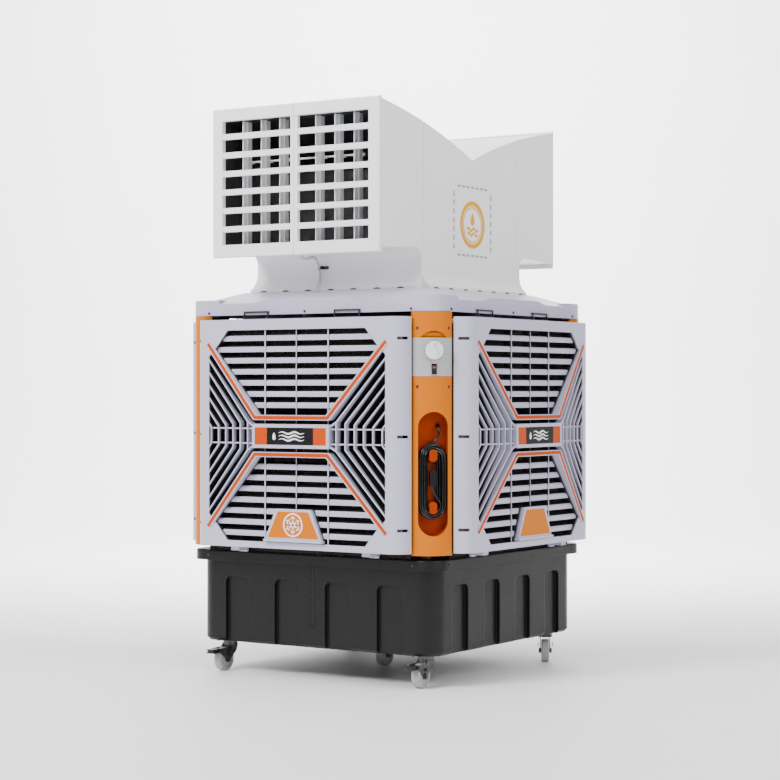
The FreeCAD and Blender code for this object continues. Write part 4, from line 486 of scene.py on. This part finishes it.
MATERIALS = {
    "tank": moulded("tank_plastic", DARK_TANK, 0.34, 520.0, 0.00012, 0.0035, 0.14, Specular_IOR_Level=0.28),
    "window": moulded("window_plastic", BLACK, 0.30, 300.0, 0.00004, 0.0006, 0.04, Specular_IOR_Level=0.25),
    "fittings": moulded("fittings_plastic", (0.045, 0.045, 0.048), 0.45),
    "zinc": zinc_material(),
    "nylon": moulded("nylon", (0.40, 0.39, 0.37), 0.34, 600.0, 0.00010, 0.0010, 0.07),
    "pedal": moulded("pedal_plastic", BLACK, 0.40),
    "silver": moulded("silver_plastic", SILVER, 0.34, 1100.0, 0.00006, 0.0012, 0.03, Coat_Weight=0.12),
    "orange": moulded("orange_plastic", ORANGE, 0.33, 1000.0, 0.00006, 0.0015, 0.04, Specular_IOR_Level=0.12),
    "inlay": inlay_material(),
    "louvre": louvre_material(),
    "duct": duct_material(),
    "outlet": outlet_material(),
    "column": column_material(),
    "plate": plate_material(),
    "grey": moulded("grey_plastic", GREY, 0.40, 900.0, 0.00007, 0.0010, 0.03),
    "vane": moulded("vane_plastic", (0.90, 0.92, 0.96), 0.36),
    "knob": moulded("knob_plastic", (0.84, 0.84, 0.84), 0.30),
    "switch": moulded("switch_plastic", BLACK, 0.24),
    "pad": pad_material(),
    "pump": moulded("pump_plastic", (0.030, 0.040, 0.075), 0.45),
    "pipe": moulded("pipe_plastic", (0.70, 0.71, 0.70), 0.40),
    "steel": moulded("painted_steel", (0.060, 0.062, 0.066), 0.45, 300.0, 0.00012),
    "fan": moulded("fan_plastic", (0.24, 0.25, 0.26), 0.42),
    "cord": rubber_material("cord_rubber", (0.0022, 0.0022, 0.0024), 0.20),
    "conduit": rubber_material("lead_rubber", (0.52, 0.52, 0.53), 0.46),
    "wire": rubber_material("clip_wire", (0.016, 0.016, 0.017), 0.34),
    "print_white": moulded("print_white", (0.86, 0.86, 0.86), 0.35, 900.0, 0.00003, 0.0),
    "print_grey": moulded("print_grey", (0.060, 0.060, 0.062), 0.35, 900.0, 0.00003, 0.0),
    "print_yellow": moulded("print_yellow", (0.74, 0.36, 0.00), 0.40, 900.0, 0.00003, 0.0,
                            Specular_IOR_Level=0.3),
    "print_red": moulded("print_red", (0.72, 0.03, 0.02), 0.28, 900.0, 0.00003, 0.0),
    # mark_dark is print on the dial ticks and painted shade on the screw crosses and the duct's foot notches
    "mark_dark": moulded("mark_dark", (0.022, 0.022, 0.024), 0.50, 700.0, 0.00004, 0.0),
}

NODE_MATERIALS = {
    "water_tank": "tank", "level_window": "window", "tank_fittings": "fittings", "float_arm": "fittings",
    "caster_plates": "zinc", "caster_fork": "zinc", "caster_wheel": "nylon", "brake_pedal": "pedal",
    "corner_posts": "zinc", "grille_panel": "louvre", "name_plates": "plate", "accent_inlays": "inlay",
    "cooling_pads": "pad", "water_pump": "pump", "water_pipes": "pipe", "corner_covers": "orange",
    "cord_storage_cover": "column", "control_panel": "grey", "speed_knob": "knob", "power_switch": "switch",
    "power_plug": "cord", "top_lid": "silver", "fan_shroud": "steel", "fan_motor": "steel",
    "fan_impeller": "fan", "outlet_duct": "duct", "outlet_grille": "outlet", "front_vane": "vane",
    "back_vane": "vane",
    "swing_motors": "fittings", "panel_clips": "wire", "screws": "zinc", "power_cord": "cord",
    "swing_motor_lead": "conduit",
}


def paint_nodes():
    for name, obj in NODES.items():
        keys = [k for k in NODE_MATERIALS if name.startswith(k)]
        material = MATERIALS[NODE_MATERIALS[max(keys, key=len)]]
        obj.data.materials.clear()
        obj.data.materials.append(material)


# ---------------------------------------------------------------- cords
CORD_D = 0.0075
TURN_TOP = 703.0
TURN_BOTTOM = 559.0
ARC_STEP = 30
PITCH = 7.5
WIDE = 39.25
MIDDLE_LAYER = 617.25
BACK_LAYER = MIDDLE_LAYER - PITCH
FRONT_LAYER = MIDDLE_LAYER + PITCH
FIRST_ANGLE = 150
LAST_ANGLE = 3960
# (place across the column, distance from the centre axis, height), in millimetres
LEAD_POINTS = [(20.0, 603.0, 800.0), (20.0, 614.0, 798.0), (21.0, 621.0, 786.0), (20.0, 621.0, 773.0),
               (16.0, 619.0, 761.0), (8.0, 617.5, 752.0), (-4.0, 617.0, 746.0), (-17.0, 617.0, 739.0),
               (-28.0, 617.0, 730.5)]
TAIL_POINTS = [(23.0, 624.0, 570.0), (17.0, 625.0, 578.0), (9.0, 627.0, 588.0), (3.0, 629.0, 599.0),
               (0.5, 630.0, 609.0), (0.0, 630.0, 619.0)]
# how wide each turn is and which layer it lies in, at the turning angle where it gets there
TURN_WIDTHS = [(0, WIDE), (385, WIDE), (420, WIDE - PITCH), (745, WIDE - PITCH), (780, WIDE - 2 * PITCH),
               (1105, WIDE - 2 * PITCH), (1140, WIDE - 3 * PITCH), (1755, WIDE - 3 * PITCH),
               (1790, WIDE - 2 * PITCH), (2115, WIDE - 2 * PITCH), (2150, WIDE - PITCH),
               (2475, WIDE - PITCH), (2510, WIDE), (2880, WIDE),
               (2915, WIDE + 3.5), (2940, WIDE + 3.5), (2970, WIDE), (3265, WIDE), (3300, WIDE - PITCH),
               (3625, WIDE - PITCH), (3660, WIDE - 2 * PITCH)]
TURN_LAYERS = [(0, MIDDLE_LAYER), (1430, MIDDLE_LAYER), (1465, BACK_LAYER), (2900, BACK_LAYER),
               (2980, FRONT_LAYER)]


def between(keys, angle):
    """Value at an angle, from a list of (angle, value)."""
    if angle <= keys[0][0]:
        return keys[0][1]
    for (a, first), (b, second) in zip(keys, keys[1:]):
        if angle <= b:
            return first + (second - first) * (angle - a) / (b - a)
    return keys[-1][1]


def winding():
    """The turns round the two cleats, up the right side and down the left."""
    points = []
    for angle in range(FIRST_ANGLE, LAST_ANGLE + 1, ARC_STEP):
        half = between(TURN_WIDTHS, angle)
        layer = between(TURN_LAYERS, angle)
        side = math.radians(angle)
        upper = angle % 360 < 180
        level = TURN_TOP if upper else TURN_BOTTOM
        if angle % 180 == 0:
            first, second = (TURN_BOTTOM, TURN_TOP) if angle % 360 == 0 else (TURN_TOP, TURN_BOTTOM)
            u = half * math.cos(side)
            points.append((u, layer, first))
            if angle < LAST_ANGLE:
                points.append((u, layer, (first + second) / 2))
                points.append((u, layer, second))
            continue
        points.append((half * math.cos(side), layer, level + half * math.sin(side)))
    return points


def nurbs(name, points, radius):
    """Smooth curve with the given points as its control points."""
    data = bpy.data.curves.new(name, "CURVE")
    data.dimensions = "3D"
    spline = data.splines.new("NURBS")
    spline.points.add(len(points) - 1)
    for target, point in zip(spline.points, points):
        target.co = (*point, 1.0)
    spline.order_u = 3
    spline.use_endpoint_u = True
    spline.resolution_u = 6
    data.bevel_depth = radius
    data.bevel_resolution = 5
    return data


def followed(points):
    """Points read from the smooth curve through a route, for what follows a cord."""
    curve = bpy.data.objects.new("route", nurbs("route", points, 0.0))
    bpy.context.scene.collection.objects.link(curve)
    bpy.context.view_layer.update()
    mesh = bpy.data.meshes.new_from_object(curve)
    line = [v.co.copy() for v in mesh.vertices]
    bpy.data.objects.remove(curve)
    return line


def tube_mesh(name, line, radius_at, sides=16):
    """Closed tube round a line; radius_at(distance along it) gives its radius."""
    vertices = []
    faces = []
    travelled = 0.0
    reference = None
    for i, point in enumerate(line):
        ahead = line[min(i + 1, len(line) - 1)] - line[max(i - 1, 0)]
        ahead.normalize()
        if reference is None:
            reference = ahead.orthogonal().normalized()
        reference = (reference - ahead * reference.dot(ahead)).normalized()
        other = ahead.cross(reference)
        if i:
            travelled += (point - line[i - 1]).length
        r = radius_at(travelled)
        for k in range(sides):
            a = 2 * math.pi * k / sides
            vertices.append(point + reference * (r * math.cos(a)) + other * (r * math.sin(a)))
    for i in range(len(line) - 1):
        for k in range(sides):
            n = (k + 1) % sides
            faces.append([i * sides + k, i * sides + n, (i + 1) * sides + n, (i + 1) * sides + k])
    faces.append(list(range(sides)))
    faces.append([(len(line) - 1) * sides + k for k in range(sides)])
    return mesh_from(name, vertices, faces, True)


def spaced(line, step):
    """The same line with points a steady step apart."""
    out = [line[0]]
    for a, b in zip(line, line[1:]):
        count = max(1, round((b - a).length / step))
        out += [a.lerp(b, i / count) for i in range(1, count + 1)]
    return out


RELIEF_LENGTH = 0.021
RELIEF_FLARE = 0.0024
GROOVE_DEPTH = 0.0006
GROOVE_PITCH = 0.004
GROOVE_START = 0.0028


def mains_cord():
    route = [column_point(*p) for p in LEAD_POINTS + winding() + TAIL_POINTS]
    cord = bpy.data.objects.new("mains_cord", nurbs("mains_cord", route, CORD_D / 2))
    bpy.context.scene.collection.objects.link(cord)
    cord.data.materials.append(MATERIALS["cord"])
    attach(cord, "cabinet")
    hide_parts("power_cord_lead", "power_cord_coil")
    line = spaced(followed(route[:6]), 0.001)
    travelled = 0.0
    sleeve = [line[0]]
    for a, b in zip(line, line[1:]):
        travelled += (b - a).length
        if travelled > RELIEF_LENGTH:
            break
        sleeve.append(b)
    relief = link("strain_relief", tube_mesh("strain_relief", sleeve, relief_radius, 20), "cabinet",
                  MATERIALS["cord"])


def relief_radius(distance):
    """Tapered sleeve with narrow grooves round it."""
    taper = CORD_D / 2 + 0.0004 + RELIEF_FLARE * (1 - distance / RELIEF_LENGTH)
    groove = GROOVE_DEPTH if distance % GROOVE_PITCH > GROOVE_START else 0.0
    return taper - groove * (1 - distance / RELIEF_LENGTH)


# x, y and z in millimetres, from the swing motor down to the lid
SWING_LEAD = [(-4.0, -508.0, 1336.0), (-5.0, -502.0, 1324.0), (-10.0, -480.0, 1318.0),
              (-20.0, -441.0, 1321.0), (-33.0, -400.0, 1328.0), (-46.0, -364.0, 1328.0),
              (-56.0, -335.0, 1315.0), (-60.0, -319.0, 1293.0), (-57.0, -319.0, 1271.0),
              (-51.0, -332.0, 1252.0), (-46.0, -352.0, 1239.0), (-43.0, -366.0, 1222.0)]
RIB_DEPTH = 0.00045
CONDUIT_R = 0.0040
CONDUIT_PITCH = 0.0026


def swing_conduit():
    """Ribbed conduit of the swing motor's lead."""
    route = [Vector(p) / 1000.0 for p in SWING_LEAD]
    line = spaced(followed(route), CONDUIT_PITCH / 4)

    def ribbed(distance):
        return CONDUIT_R - RIB_DEPTH * (1 + math.cos(2 * math.pi * distance / CONDUIT_PITCH))

    conduit = link("swing_conduit", tube_mesh("swing_conduit", line, ribbed), "cabinet",
                   MATERIALS["conduit"])
    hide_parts("swing_motor_lead")


# ---------------------------------------------------------------- plates, badge and emblem
PRINT_RAISE = 0.0006
WAVE_LENGTH = 0.096
WAVE_HEIGHT = 0.0058
WAVE_SWING = 0.0030
WAVE_RISES = (-0.0105, 0.0, 0.0105)
DROP_SIZE = 0.013
DROP_PLACE = (-0.066, 0.0)
MOTIF_SHIFT = 0.006


def wave_outline(length, height, swing, rise):
    """A band that runs across in two gentle waves."""
    count = 36
    top = []
    bottom = []
    for i in range(count + 1):
        a = -length / 2 + length * i / count
        middle = rise + swing * math.sin(2 * math.pi * 2 * i / count)
        taper = height / 2 * math.sin(math.pi * (0.06 + 0.88 * i / count))
        top.append((a, middle + taper))
        bottom.append((a, middle - taper))
    return top + bottom[::-1]


def droplet(size, centre):
    """Water drop: a round foot drawn up to a point."""
    outline = []
    for i in range(40):
        t = 2 * math.pi * i / 40
        outline.append((centre[0] + size * 0.62 * math.sin(t) * math.sin(t / 2),
                        centre[1] + size * math.cos(t) * 0.9))
    return outline


def name_plate_motifs():
    low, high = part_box("name_plates")
    distance = high.y
    middle = (low.z + high.z) / 2
    for side, angle in SIDES.items():
        shapes = [wave_outline(WAVE_LENGTH, WAVE_HEIGHT, WAVE_SWING, rise) for rise in WAVE_RISES]
        shapes.append(droplet(DROP_SIZE, DROP_PLACE))
        place = wall_place(distance, angle, MOTIF_SHIFT, middle)
        mesh = mesh_from("plate_motif_" + side, *plaque(shapes, place, PRINT_RAISE))
        link("plate_motif_" + side, mesh, "cabinet", MATERIALS["print_white"])


TWIG_TURN = 50
TWIG_ROOT = 0.58
TWIG_REACH = 0.34


def snow_star(reach, width):
    """Six arms, each with two short twigs near its tip."""
    shapes = []
    for i in range(6):
        a = math.radians(60 * i + 30)
        tip = on_circle(reach, a)
        shapes.append(bar((0.0, 0.0), tip, width))
        for turn in (-TWIG_TURN, TWIG_TURN):
            root = (tip[0] * TWIG_ROOT, tip[1] * TWIG_ROOT)
            twig = on_circle(reach * TWIG_REACH, a + math.radians(turn))
            shapes.append(bar(root, (root[0] + twig[0], root[1] + twig[1]), width * 0.8))
    return shapes


ROUNDEL_R = 0.037
ROUNDEL_HOLE = 0.87
STAR_SHARE = 0.74
STAR_WIDTH = 0.0052


def front_roundel():
    """Round snow star mark on the front badge only."""
    badges = [i for i in islands("accent_inlays") if i[2].z < BADGE_TOP and abs(i[0].x) < 0.01 and i[0].y < 0]
    centre, lowest, _ = badges[0]
    place = wall_place(-lowest.y, 0.0, 0.0, centre.z)
    shapes = ring_pieces(ROUNDEL_R, ROUNDEL_R * ROUNDEL_HOLE) + snow_star(ROUNDEL_R * STAR_SHARE, STAR_WIDTH)
    mesh = mesh_from("front_roundel", *plaque(shapes, place, PRINT_RAISE))
    link("front_roundel", mesh, "cabinet", MATERIALS["print_white"])


EMBLEM_Z = 1.440
EMBLEM_R = 0.076
EMBLEM_RAISE = 0.0012
EMBLEM_RINGS = ((1.0, 0.82), (0.76, 0.71))
EMBLEM_SIDES = 56
DUCT_SIDE = 0.317


def wave_pieces(length, height, swing, rise, count=30):
    """The same wavy band as a run of four-cornered pieces."""
    edges = []
    for i in range(count + 1):
        a = -length / 2 + length * i / count
        middle = rise + swing * math.sin(4 * math.pi * i / count)
        edges.append(((a, middle + height / 2), (a, middle - height / 2)))
    return [[edges[i][0], edges[i + 1][0], edges[i + 1][1], edges[i][1]] for i in range(count)]


def air_emblem():
    """Generic mark: a drop over two waves of air inside a solid ring and a thin one."""
    shapes = []
    for outer, inner in EMBLEM_RINGS:
        shapes += ring_pieces(EMBLEM_R * outer, EMBLEM_R * inner, EMBLEM_SIDES)
    shapes.append(droplet(EMBLEM_R * 0.30, (0.0, EMBLEM_R * 0.24)))
    for rise in (-0.20, -0.40):
        length = EMBLEM_R * (1.02 + 0.6 * rise)
        shapes += wave_pieces(length, EMBLEM_R * 0.105, EMBLEM_R * 0.06, EMBLEM_R * rise)
    return shapes


def duct_emblems():
    """Raised mark on each side wall of the duct."""
    for side in ("right", "left"):
        place = wall_place(DUCT_SIDE, SIDES[side], 0.0, EMBLEM_Z)
        mesh = mesh_from("duct_emblem_" + side, *plaque(air_emblem(), place, EMBLEM_RAISE))
        link("duct_emblem_" + side, mesh, "cabinet", MATERIALS["print_yellow"])


# ---------------------------------------------------------------- controls
def column_place(distance, up):
    return wall_place(distance, COLUMN_TURN, 0.0, up)


KNOB_Z = 1.027
PANEL_CREST = 0.646
DIAL_TICKS = (-135, -90, -45, 0, 45, 90, 135)
TICK_INNER = 0.0294
TICK_OUTER = 0.0322
TICK_WIDTH = 0.0014
POINTER_START = 0.006
POINTER_END = 0.023
POINTER_WIDTH = 0.0024
KNOB_PROUD = 0.014
LENS_BOTTOM = 0.0045
LENS_TOP = 0.0115
LENS_WIDTH = 0.0085
LENS_PLACE = 0.0053
LENS_RAISE = 0.0016


def knob_details():
    """Dial ticks round the knob's ring and the pointer on its grip."""
    shapes = []
    for degrees in DIAL_TICKS:
        a = math.radians(90 - degrees)
        shapes.append(bar(on_circle(TICK_INNER, a), on_circle(TICK_OUTER, a), TICK_WIDTH))
    mesh = mesh_from("dial_ticks", *plaque(shapes, column_place(PANEL_CREST + 0.003, KNOB_Z), 0.0004))
    link("dial_ticks", mesh, "cabinet", MATERIALS["mark_dark"])
    pointer = bar((0.0, POINTER_START), (0.0, POINTER_END), POINTER_WIDTH)
    place = column_place(PANEL_CREST + KNOB_PROUD, KNOB_Z)
    mesh = mesh_from("knob_pointer", *plaque([pointer], place, 0.0005))
    link("knob_pointer", mesh, "knob", MATERIALS["print_red"])


def rocker_lens():
    """Red window in the upper half of the rocker."""
    low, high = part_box("power_switch")
    centre = (low + high) / 2
    outline = bar((0.0, LENS_BOTTOM), (0.0, LENS_TOP), LENS_WIDTH)
    place = column_place((centre.x - centre.y) * math.sqrt(0.5) + LENS_PLACE, centre.z)
    obj = link("rocker_lens", mesh_from("rocker_lens", *plaque([outline], place, LENS_RAISE)), "rocker",
               MATERIALS["print_red"])
    bevelled(obj, 0.0005)


# ---------------------------------------------------------------- fasteners, casters, duct foot, level marks
CROSS_REACH = 0.0024
CROSS_WIDTH = 0.0011
CROSS_RAISE = 0.0004
COLUMN_SCREW_DEPTH = 0.0029
CORNER_BAND = 0.09
CORNER_REACH = 0.38
COLUMN_FOOT = 0.6


def screw_recess_shade():
    """A dark cross in the head of every screw, painted shade of its cross recess, found from the screws' own
    solids.
    """
    vertices = []
    faces = []
    for centre, low, high in islands("screws"):
        out = Vector((centre.x, centre.y, 0.0))
        x, y = abs(centre.x), abs(centre.y)
        if abs(x - y) < CORNER_BAND and min(x, y) > CORNER_REACH and centre.z > COLUMN_FOOT:
            direction = Vector((1, -1, 0)).normalized()
            depth = COLUMN_SCREW_DEPTH
        elif x > y:
            direction = Vector((math.copysign(1, out.x), 0, 0))
            depth = (high.x - low.x) / 2
        else:
            direction = Vector((0, math.copysign(1, out.y), 0))
            depth = (high.y - low.y) / 2
        across = Vector((0, 0, 1)).cross(direction)
        start = centre + direction * (depth - 0.0002)

        def place(a, raise_by, b, start=start, across=across, direction=direction):
            return start + across * a + direction * raise_by + Vector((0, 0, b))

        # painted shade: a dark cross raised on each head stands in for its recess
        arms = [bar((-CROSS_REACH, -tip), (CROSS_REACH, tip), CROSS_WIDTH)
                for tip in (CROSS_REACH, -CROSS_REACH)]
        more, shapes = plaque(arms, place, CROSS_RAISE)
        faces += [[i + len(vertices) for i in face] for face in shapes]
        vertices += more
    link("screw_recess_shade", mesh_from("screw_recess_shade", vertices, faces), "cabinet", MATERIALS["mark_dark"])


NUT_PLACE = 0.0225
NUT_R = 0.0068
NUT_HEIGHT = 0.0026
CASTERS = ("front_left", "front_right", "back_left", "back_right", "centre")


def hexagon(radius):
    return [on_circle(radius, math.radians(60 * i)) for i in range(6)]


def axle_nuts():
    """A hexagon nut on each end of every axle bolt."""
    for name in CASTERS:
        solids = sorted(islands("caster_fork_" + name), key=lambda s: (s[2] - s[1]).length)
        bolt = solids[0]
        joint = next(j for j in frame["joints"] if j["name"] == "wheel_spin_" + name)
        axis = Vector(joint["axis"]).normalized()
        vertices = []
        faces = []
        for sign in (-1, 1):
            side = Vector((0, 0, 1)).cross(axis * sign)
            start = bolt[0] + axis * (sign * NUT_PLACE)

            def place(a, out, b, start=start, side=side, sign=sign):
                return start + side * a + axis * (sign * out) + Vector((0, 0, b))

            more, shapes = plaque([hexagon(NUT_R)], place, NUT_HEIGHT)
            faces += [[i + len(vertices) for i in face] for face in shapes]
            vertices += more
        obj = link("axle_nuts_" + name, mesh_from("axle_nuts_" + name, vertices, faces), "fork_" + name,
                   MATERIALS["zinc"])
        bevelled(obj, 0.0004)


FOOT_HALF = 0.345
MARK_PITCH = 0.088
MARK_REACH = 0.014
MARK_RISE = 0.0045


def duct_foot_notch_shade():
    """Dark half-discs along the foot of the duct, where it sits on the lid: painted shade where drain notches
    sit.
    """
    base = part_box("outlet_duct")[0].z
    vertices = []
    faces = []
    for angle in SIDES.values():
        for i in range(-3, 4):
            angles = [math.pi * k / 12 for k in range(13)]
            arc = [(MARK_REACH * math.cos(a), MARK_RISE * math.sin(a)) for a in angles]
            place = wall_place(FOOT_HALF - 0.0002, angle, i * MARK_PITCH, base + 0.0004)
            # painted shade: a flat dark half-disc for each notch
            more, shapes = plaque([arc], place, PRINT_RAISE)
            faces += [[k + len(vertices) for k in face] for face in shapes]
            vertices += more
    link("duct_foot_notch_shade", mesh_from("duct_foot_notch_shade", vertices, faces), "cabinet", MATERIALS["mark_dark"])


LEVEL_MARGIN = 0.018
LEVEL_LEFT = -0.0058
LEVEL_WIDTH = 0.0012


def level_marks():
    """Tick marks down the level window."""
    low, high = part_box("level_window")
    middle = (low.x + high.x) / 2
    shapes = []
    count = 9
    for i in range(count):
        z = LEVEL_MARGIN + (high.z - low.z - 2 * LEVEL_MARGIN) * i / (count - 1)
        reach = 0.0050 if i % 4 == 0 else 0.0030
        shapes.append(bar((LEVEL_LEFT, z), (LEVEL_LEFT + reach, z), LEVEL_WIDTH))
    mesh = mesh_from("level_marks", *plaque(shapes, wall_place(-low.y, 0.0, middle, low.z), 0.0004))
    link("level_marks", mesh, "cabinet", MATERIALS["print_grey"])


BACKING_HEIGHT = 21.0
BACKING_HALF = 44.0
BACKING_DEPTHS = (4.6, 6.0)


def scallop_backing():
    """Orange sheet just behind the scallop over the control panel, following the cover's crown."""
    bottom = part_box("control_panel")[1].z * 1000.0 + 0.5
    top = bottom + BACKING_HEIGHT
    columns = 18
    vertices = []
    for depth in BACKING_DEPTHS:
        for z in (bottom, top):
            for i in range(columns + 1):
                u = -BACKING_HALF + 2 * BACKING_HALF * i / columns
                skin = COLUMN_SKIN * 1000.0 - COLUMN_CURVE / 1000.0 * u * u
                vertices.append(column_point(u, skin - depth, z))
    row = columns + 1
    faces = []
    for i in range(columns):
        faces.append([i, i + 1, row + i + 1, row + i])
        faces.append([2 * row + i, 3 * row + i, 3 * row + i + 1, 2 * row + i + 1])
        faces.append([i, 2 * row + i, 2 * row + i + 1, i + 1])
        faces.append([row + i, row + i + 1, 3 * row + i + 1, 3 * row + i])
    faces.append([0, row, 3 * row, 2 * row])
    faces.append([columns, 2 * row + columns, 3 * row + columns, row + columns])
    mesh = mesh_from("scallop_backing", vertices, faces, True)
    link("scallop_backing", mesh, "cabinet", MATERIALS["orange"])


# ---------------------------------------------------------------- floor and light
WALL_DISTANCE = 9.0
WALL_HEIGHT = 12.0
STAGE_REACH = 14.0
SWEEP_R = 3.0
FLOOR_SHADES = [(0.2, (0.90, 0.90, 0.90)), (0.8, (0.93, 0.93, 0.93))]
SKY = 0.46
# name, azimuth in degrees, distance, height and width in metres, power in watts
LIGHTS = (("key", -15.0, 5.0, 4.2, 2.4, 400.0),
          ("fill", 80.0, 5.0, 3.0, 3.0, 140.0),
          ("top", 30.0, 1.0, 5.5, 4.0, 190.0))
BACKDROP_LIGHT = ("backdrop", CAMERA_AZIMUTH + 180.0, 3.2, 5.2, 4.0, 1900.0)


def make_stage():
    """Floor that sweeps up into a wall behind the cooler."""
    s = Shader("stage_floor", 0.60)
    s.colour(s.ramp(s.noise(2.0), FLOOR_SHADES))
    curve = 12
    foot = WALL_DISTANCE - SWEEP_R
    profile = [(-STAGE_REACH, 0.0), (foot, 0.0)]
    for i in range(1, curve + 1):
        a = math.pi / 2 * i / curve
        profile.append((foot + SWEEP_R * math.sin(a), SWEEP_R - SWEEP_R * math.cos(a)))
    profile.append((WALL_DISTANCE, WALL_HEIGHT))
    turn = Matrix.Rotation(math.radians(CAMERA_AZIMUTH), 4, "Z")
    vertices = [turn @ Vector((x, d, z)) for d, z in profile for x in (-STAGE_REACH, STAGE_REACH)]
    faces = [[2 * i, 2 * i + 1, 2 * i + 3, 2 * i + 2] for i in range(len(profile) - 1)]
    floor = bpy.data.objects.new("stage_floor", mesh_from("stage_floor", vertices, faces, True))
    floor.data.materials.append(s.material)
    bpy.context.scene.collection.objects.link(floor)


def area_light(name, azimuth, distance, height, size, power, target=(0.0, 0.0, 0.9)):
    data = bpy.data.lights.new(name, "AREA")
    data.shape = "DISK"
    data.size = size
    data.energy = power
    light = bpy.data.objects.new(name, data)
    a = math.radians(azimuth)
    light.location = (distance * math.sin(a), -distance * math.cos(a), height)
    aim = Vector(target) - light.location
    light.rotation_euler = aim.to_track_quat("-Z", "Y").to_euler()
    bpy.context.scene.collection.objects.link(light)


def make_light():
    world = bpy.data.worlds.new("studio")
    world.use_nodes = True
    background = world.node_tree.nodes["Background"]
    background.inputs["Color"].default_value = (1.0, 1.0, 1.0, 1.0)
    background.inputs["Strength"].default_value = SKY
    bpy.context.scene.world = world
    for light in LIGHTS:
        area_light(*light)
    behind = math.radians(CAMERA_AZIMUTH)
    wall = (-WALL_DISTANCE * math.sin(behind), WALL_DISTANCE * math.cos(behind), 2.0)
    area_light(*BACKDROP_LIGHT, wall)


paint_nodes()
mains_cord()
swing_conduit()
name_plate_motifs()
front_roundel()
duct_emblems()
knob_details()
rocker_lens()
screw_recess_shade()
axle_nuts()
duct_foot_notch_shade()
level_marks()
scallop_backing()
make_stage()
make_light()
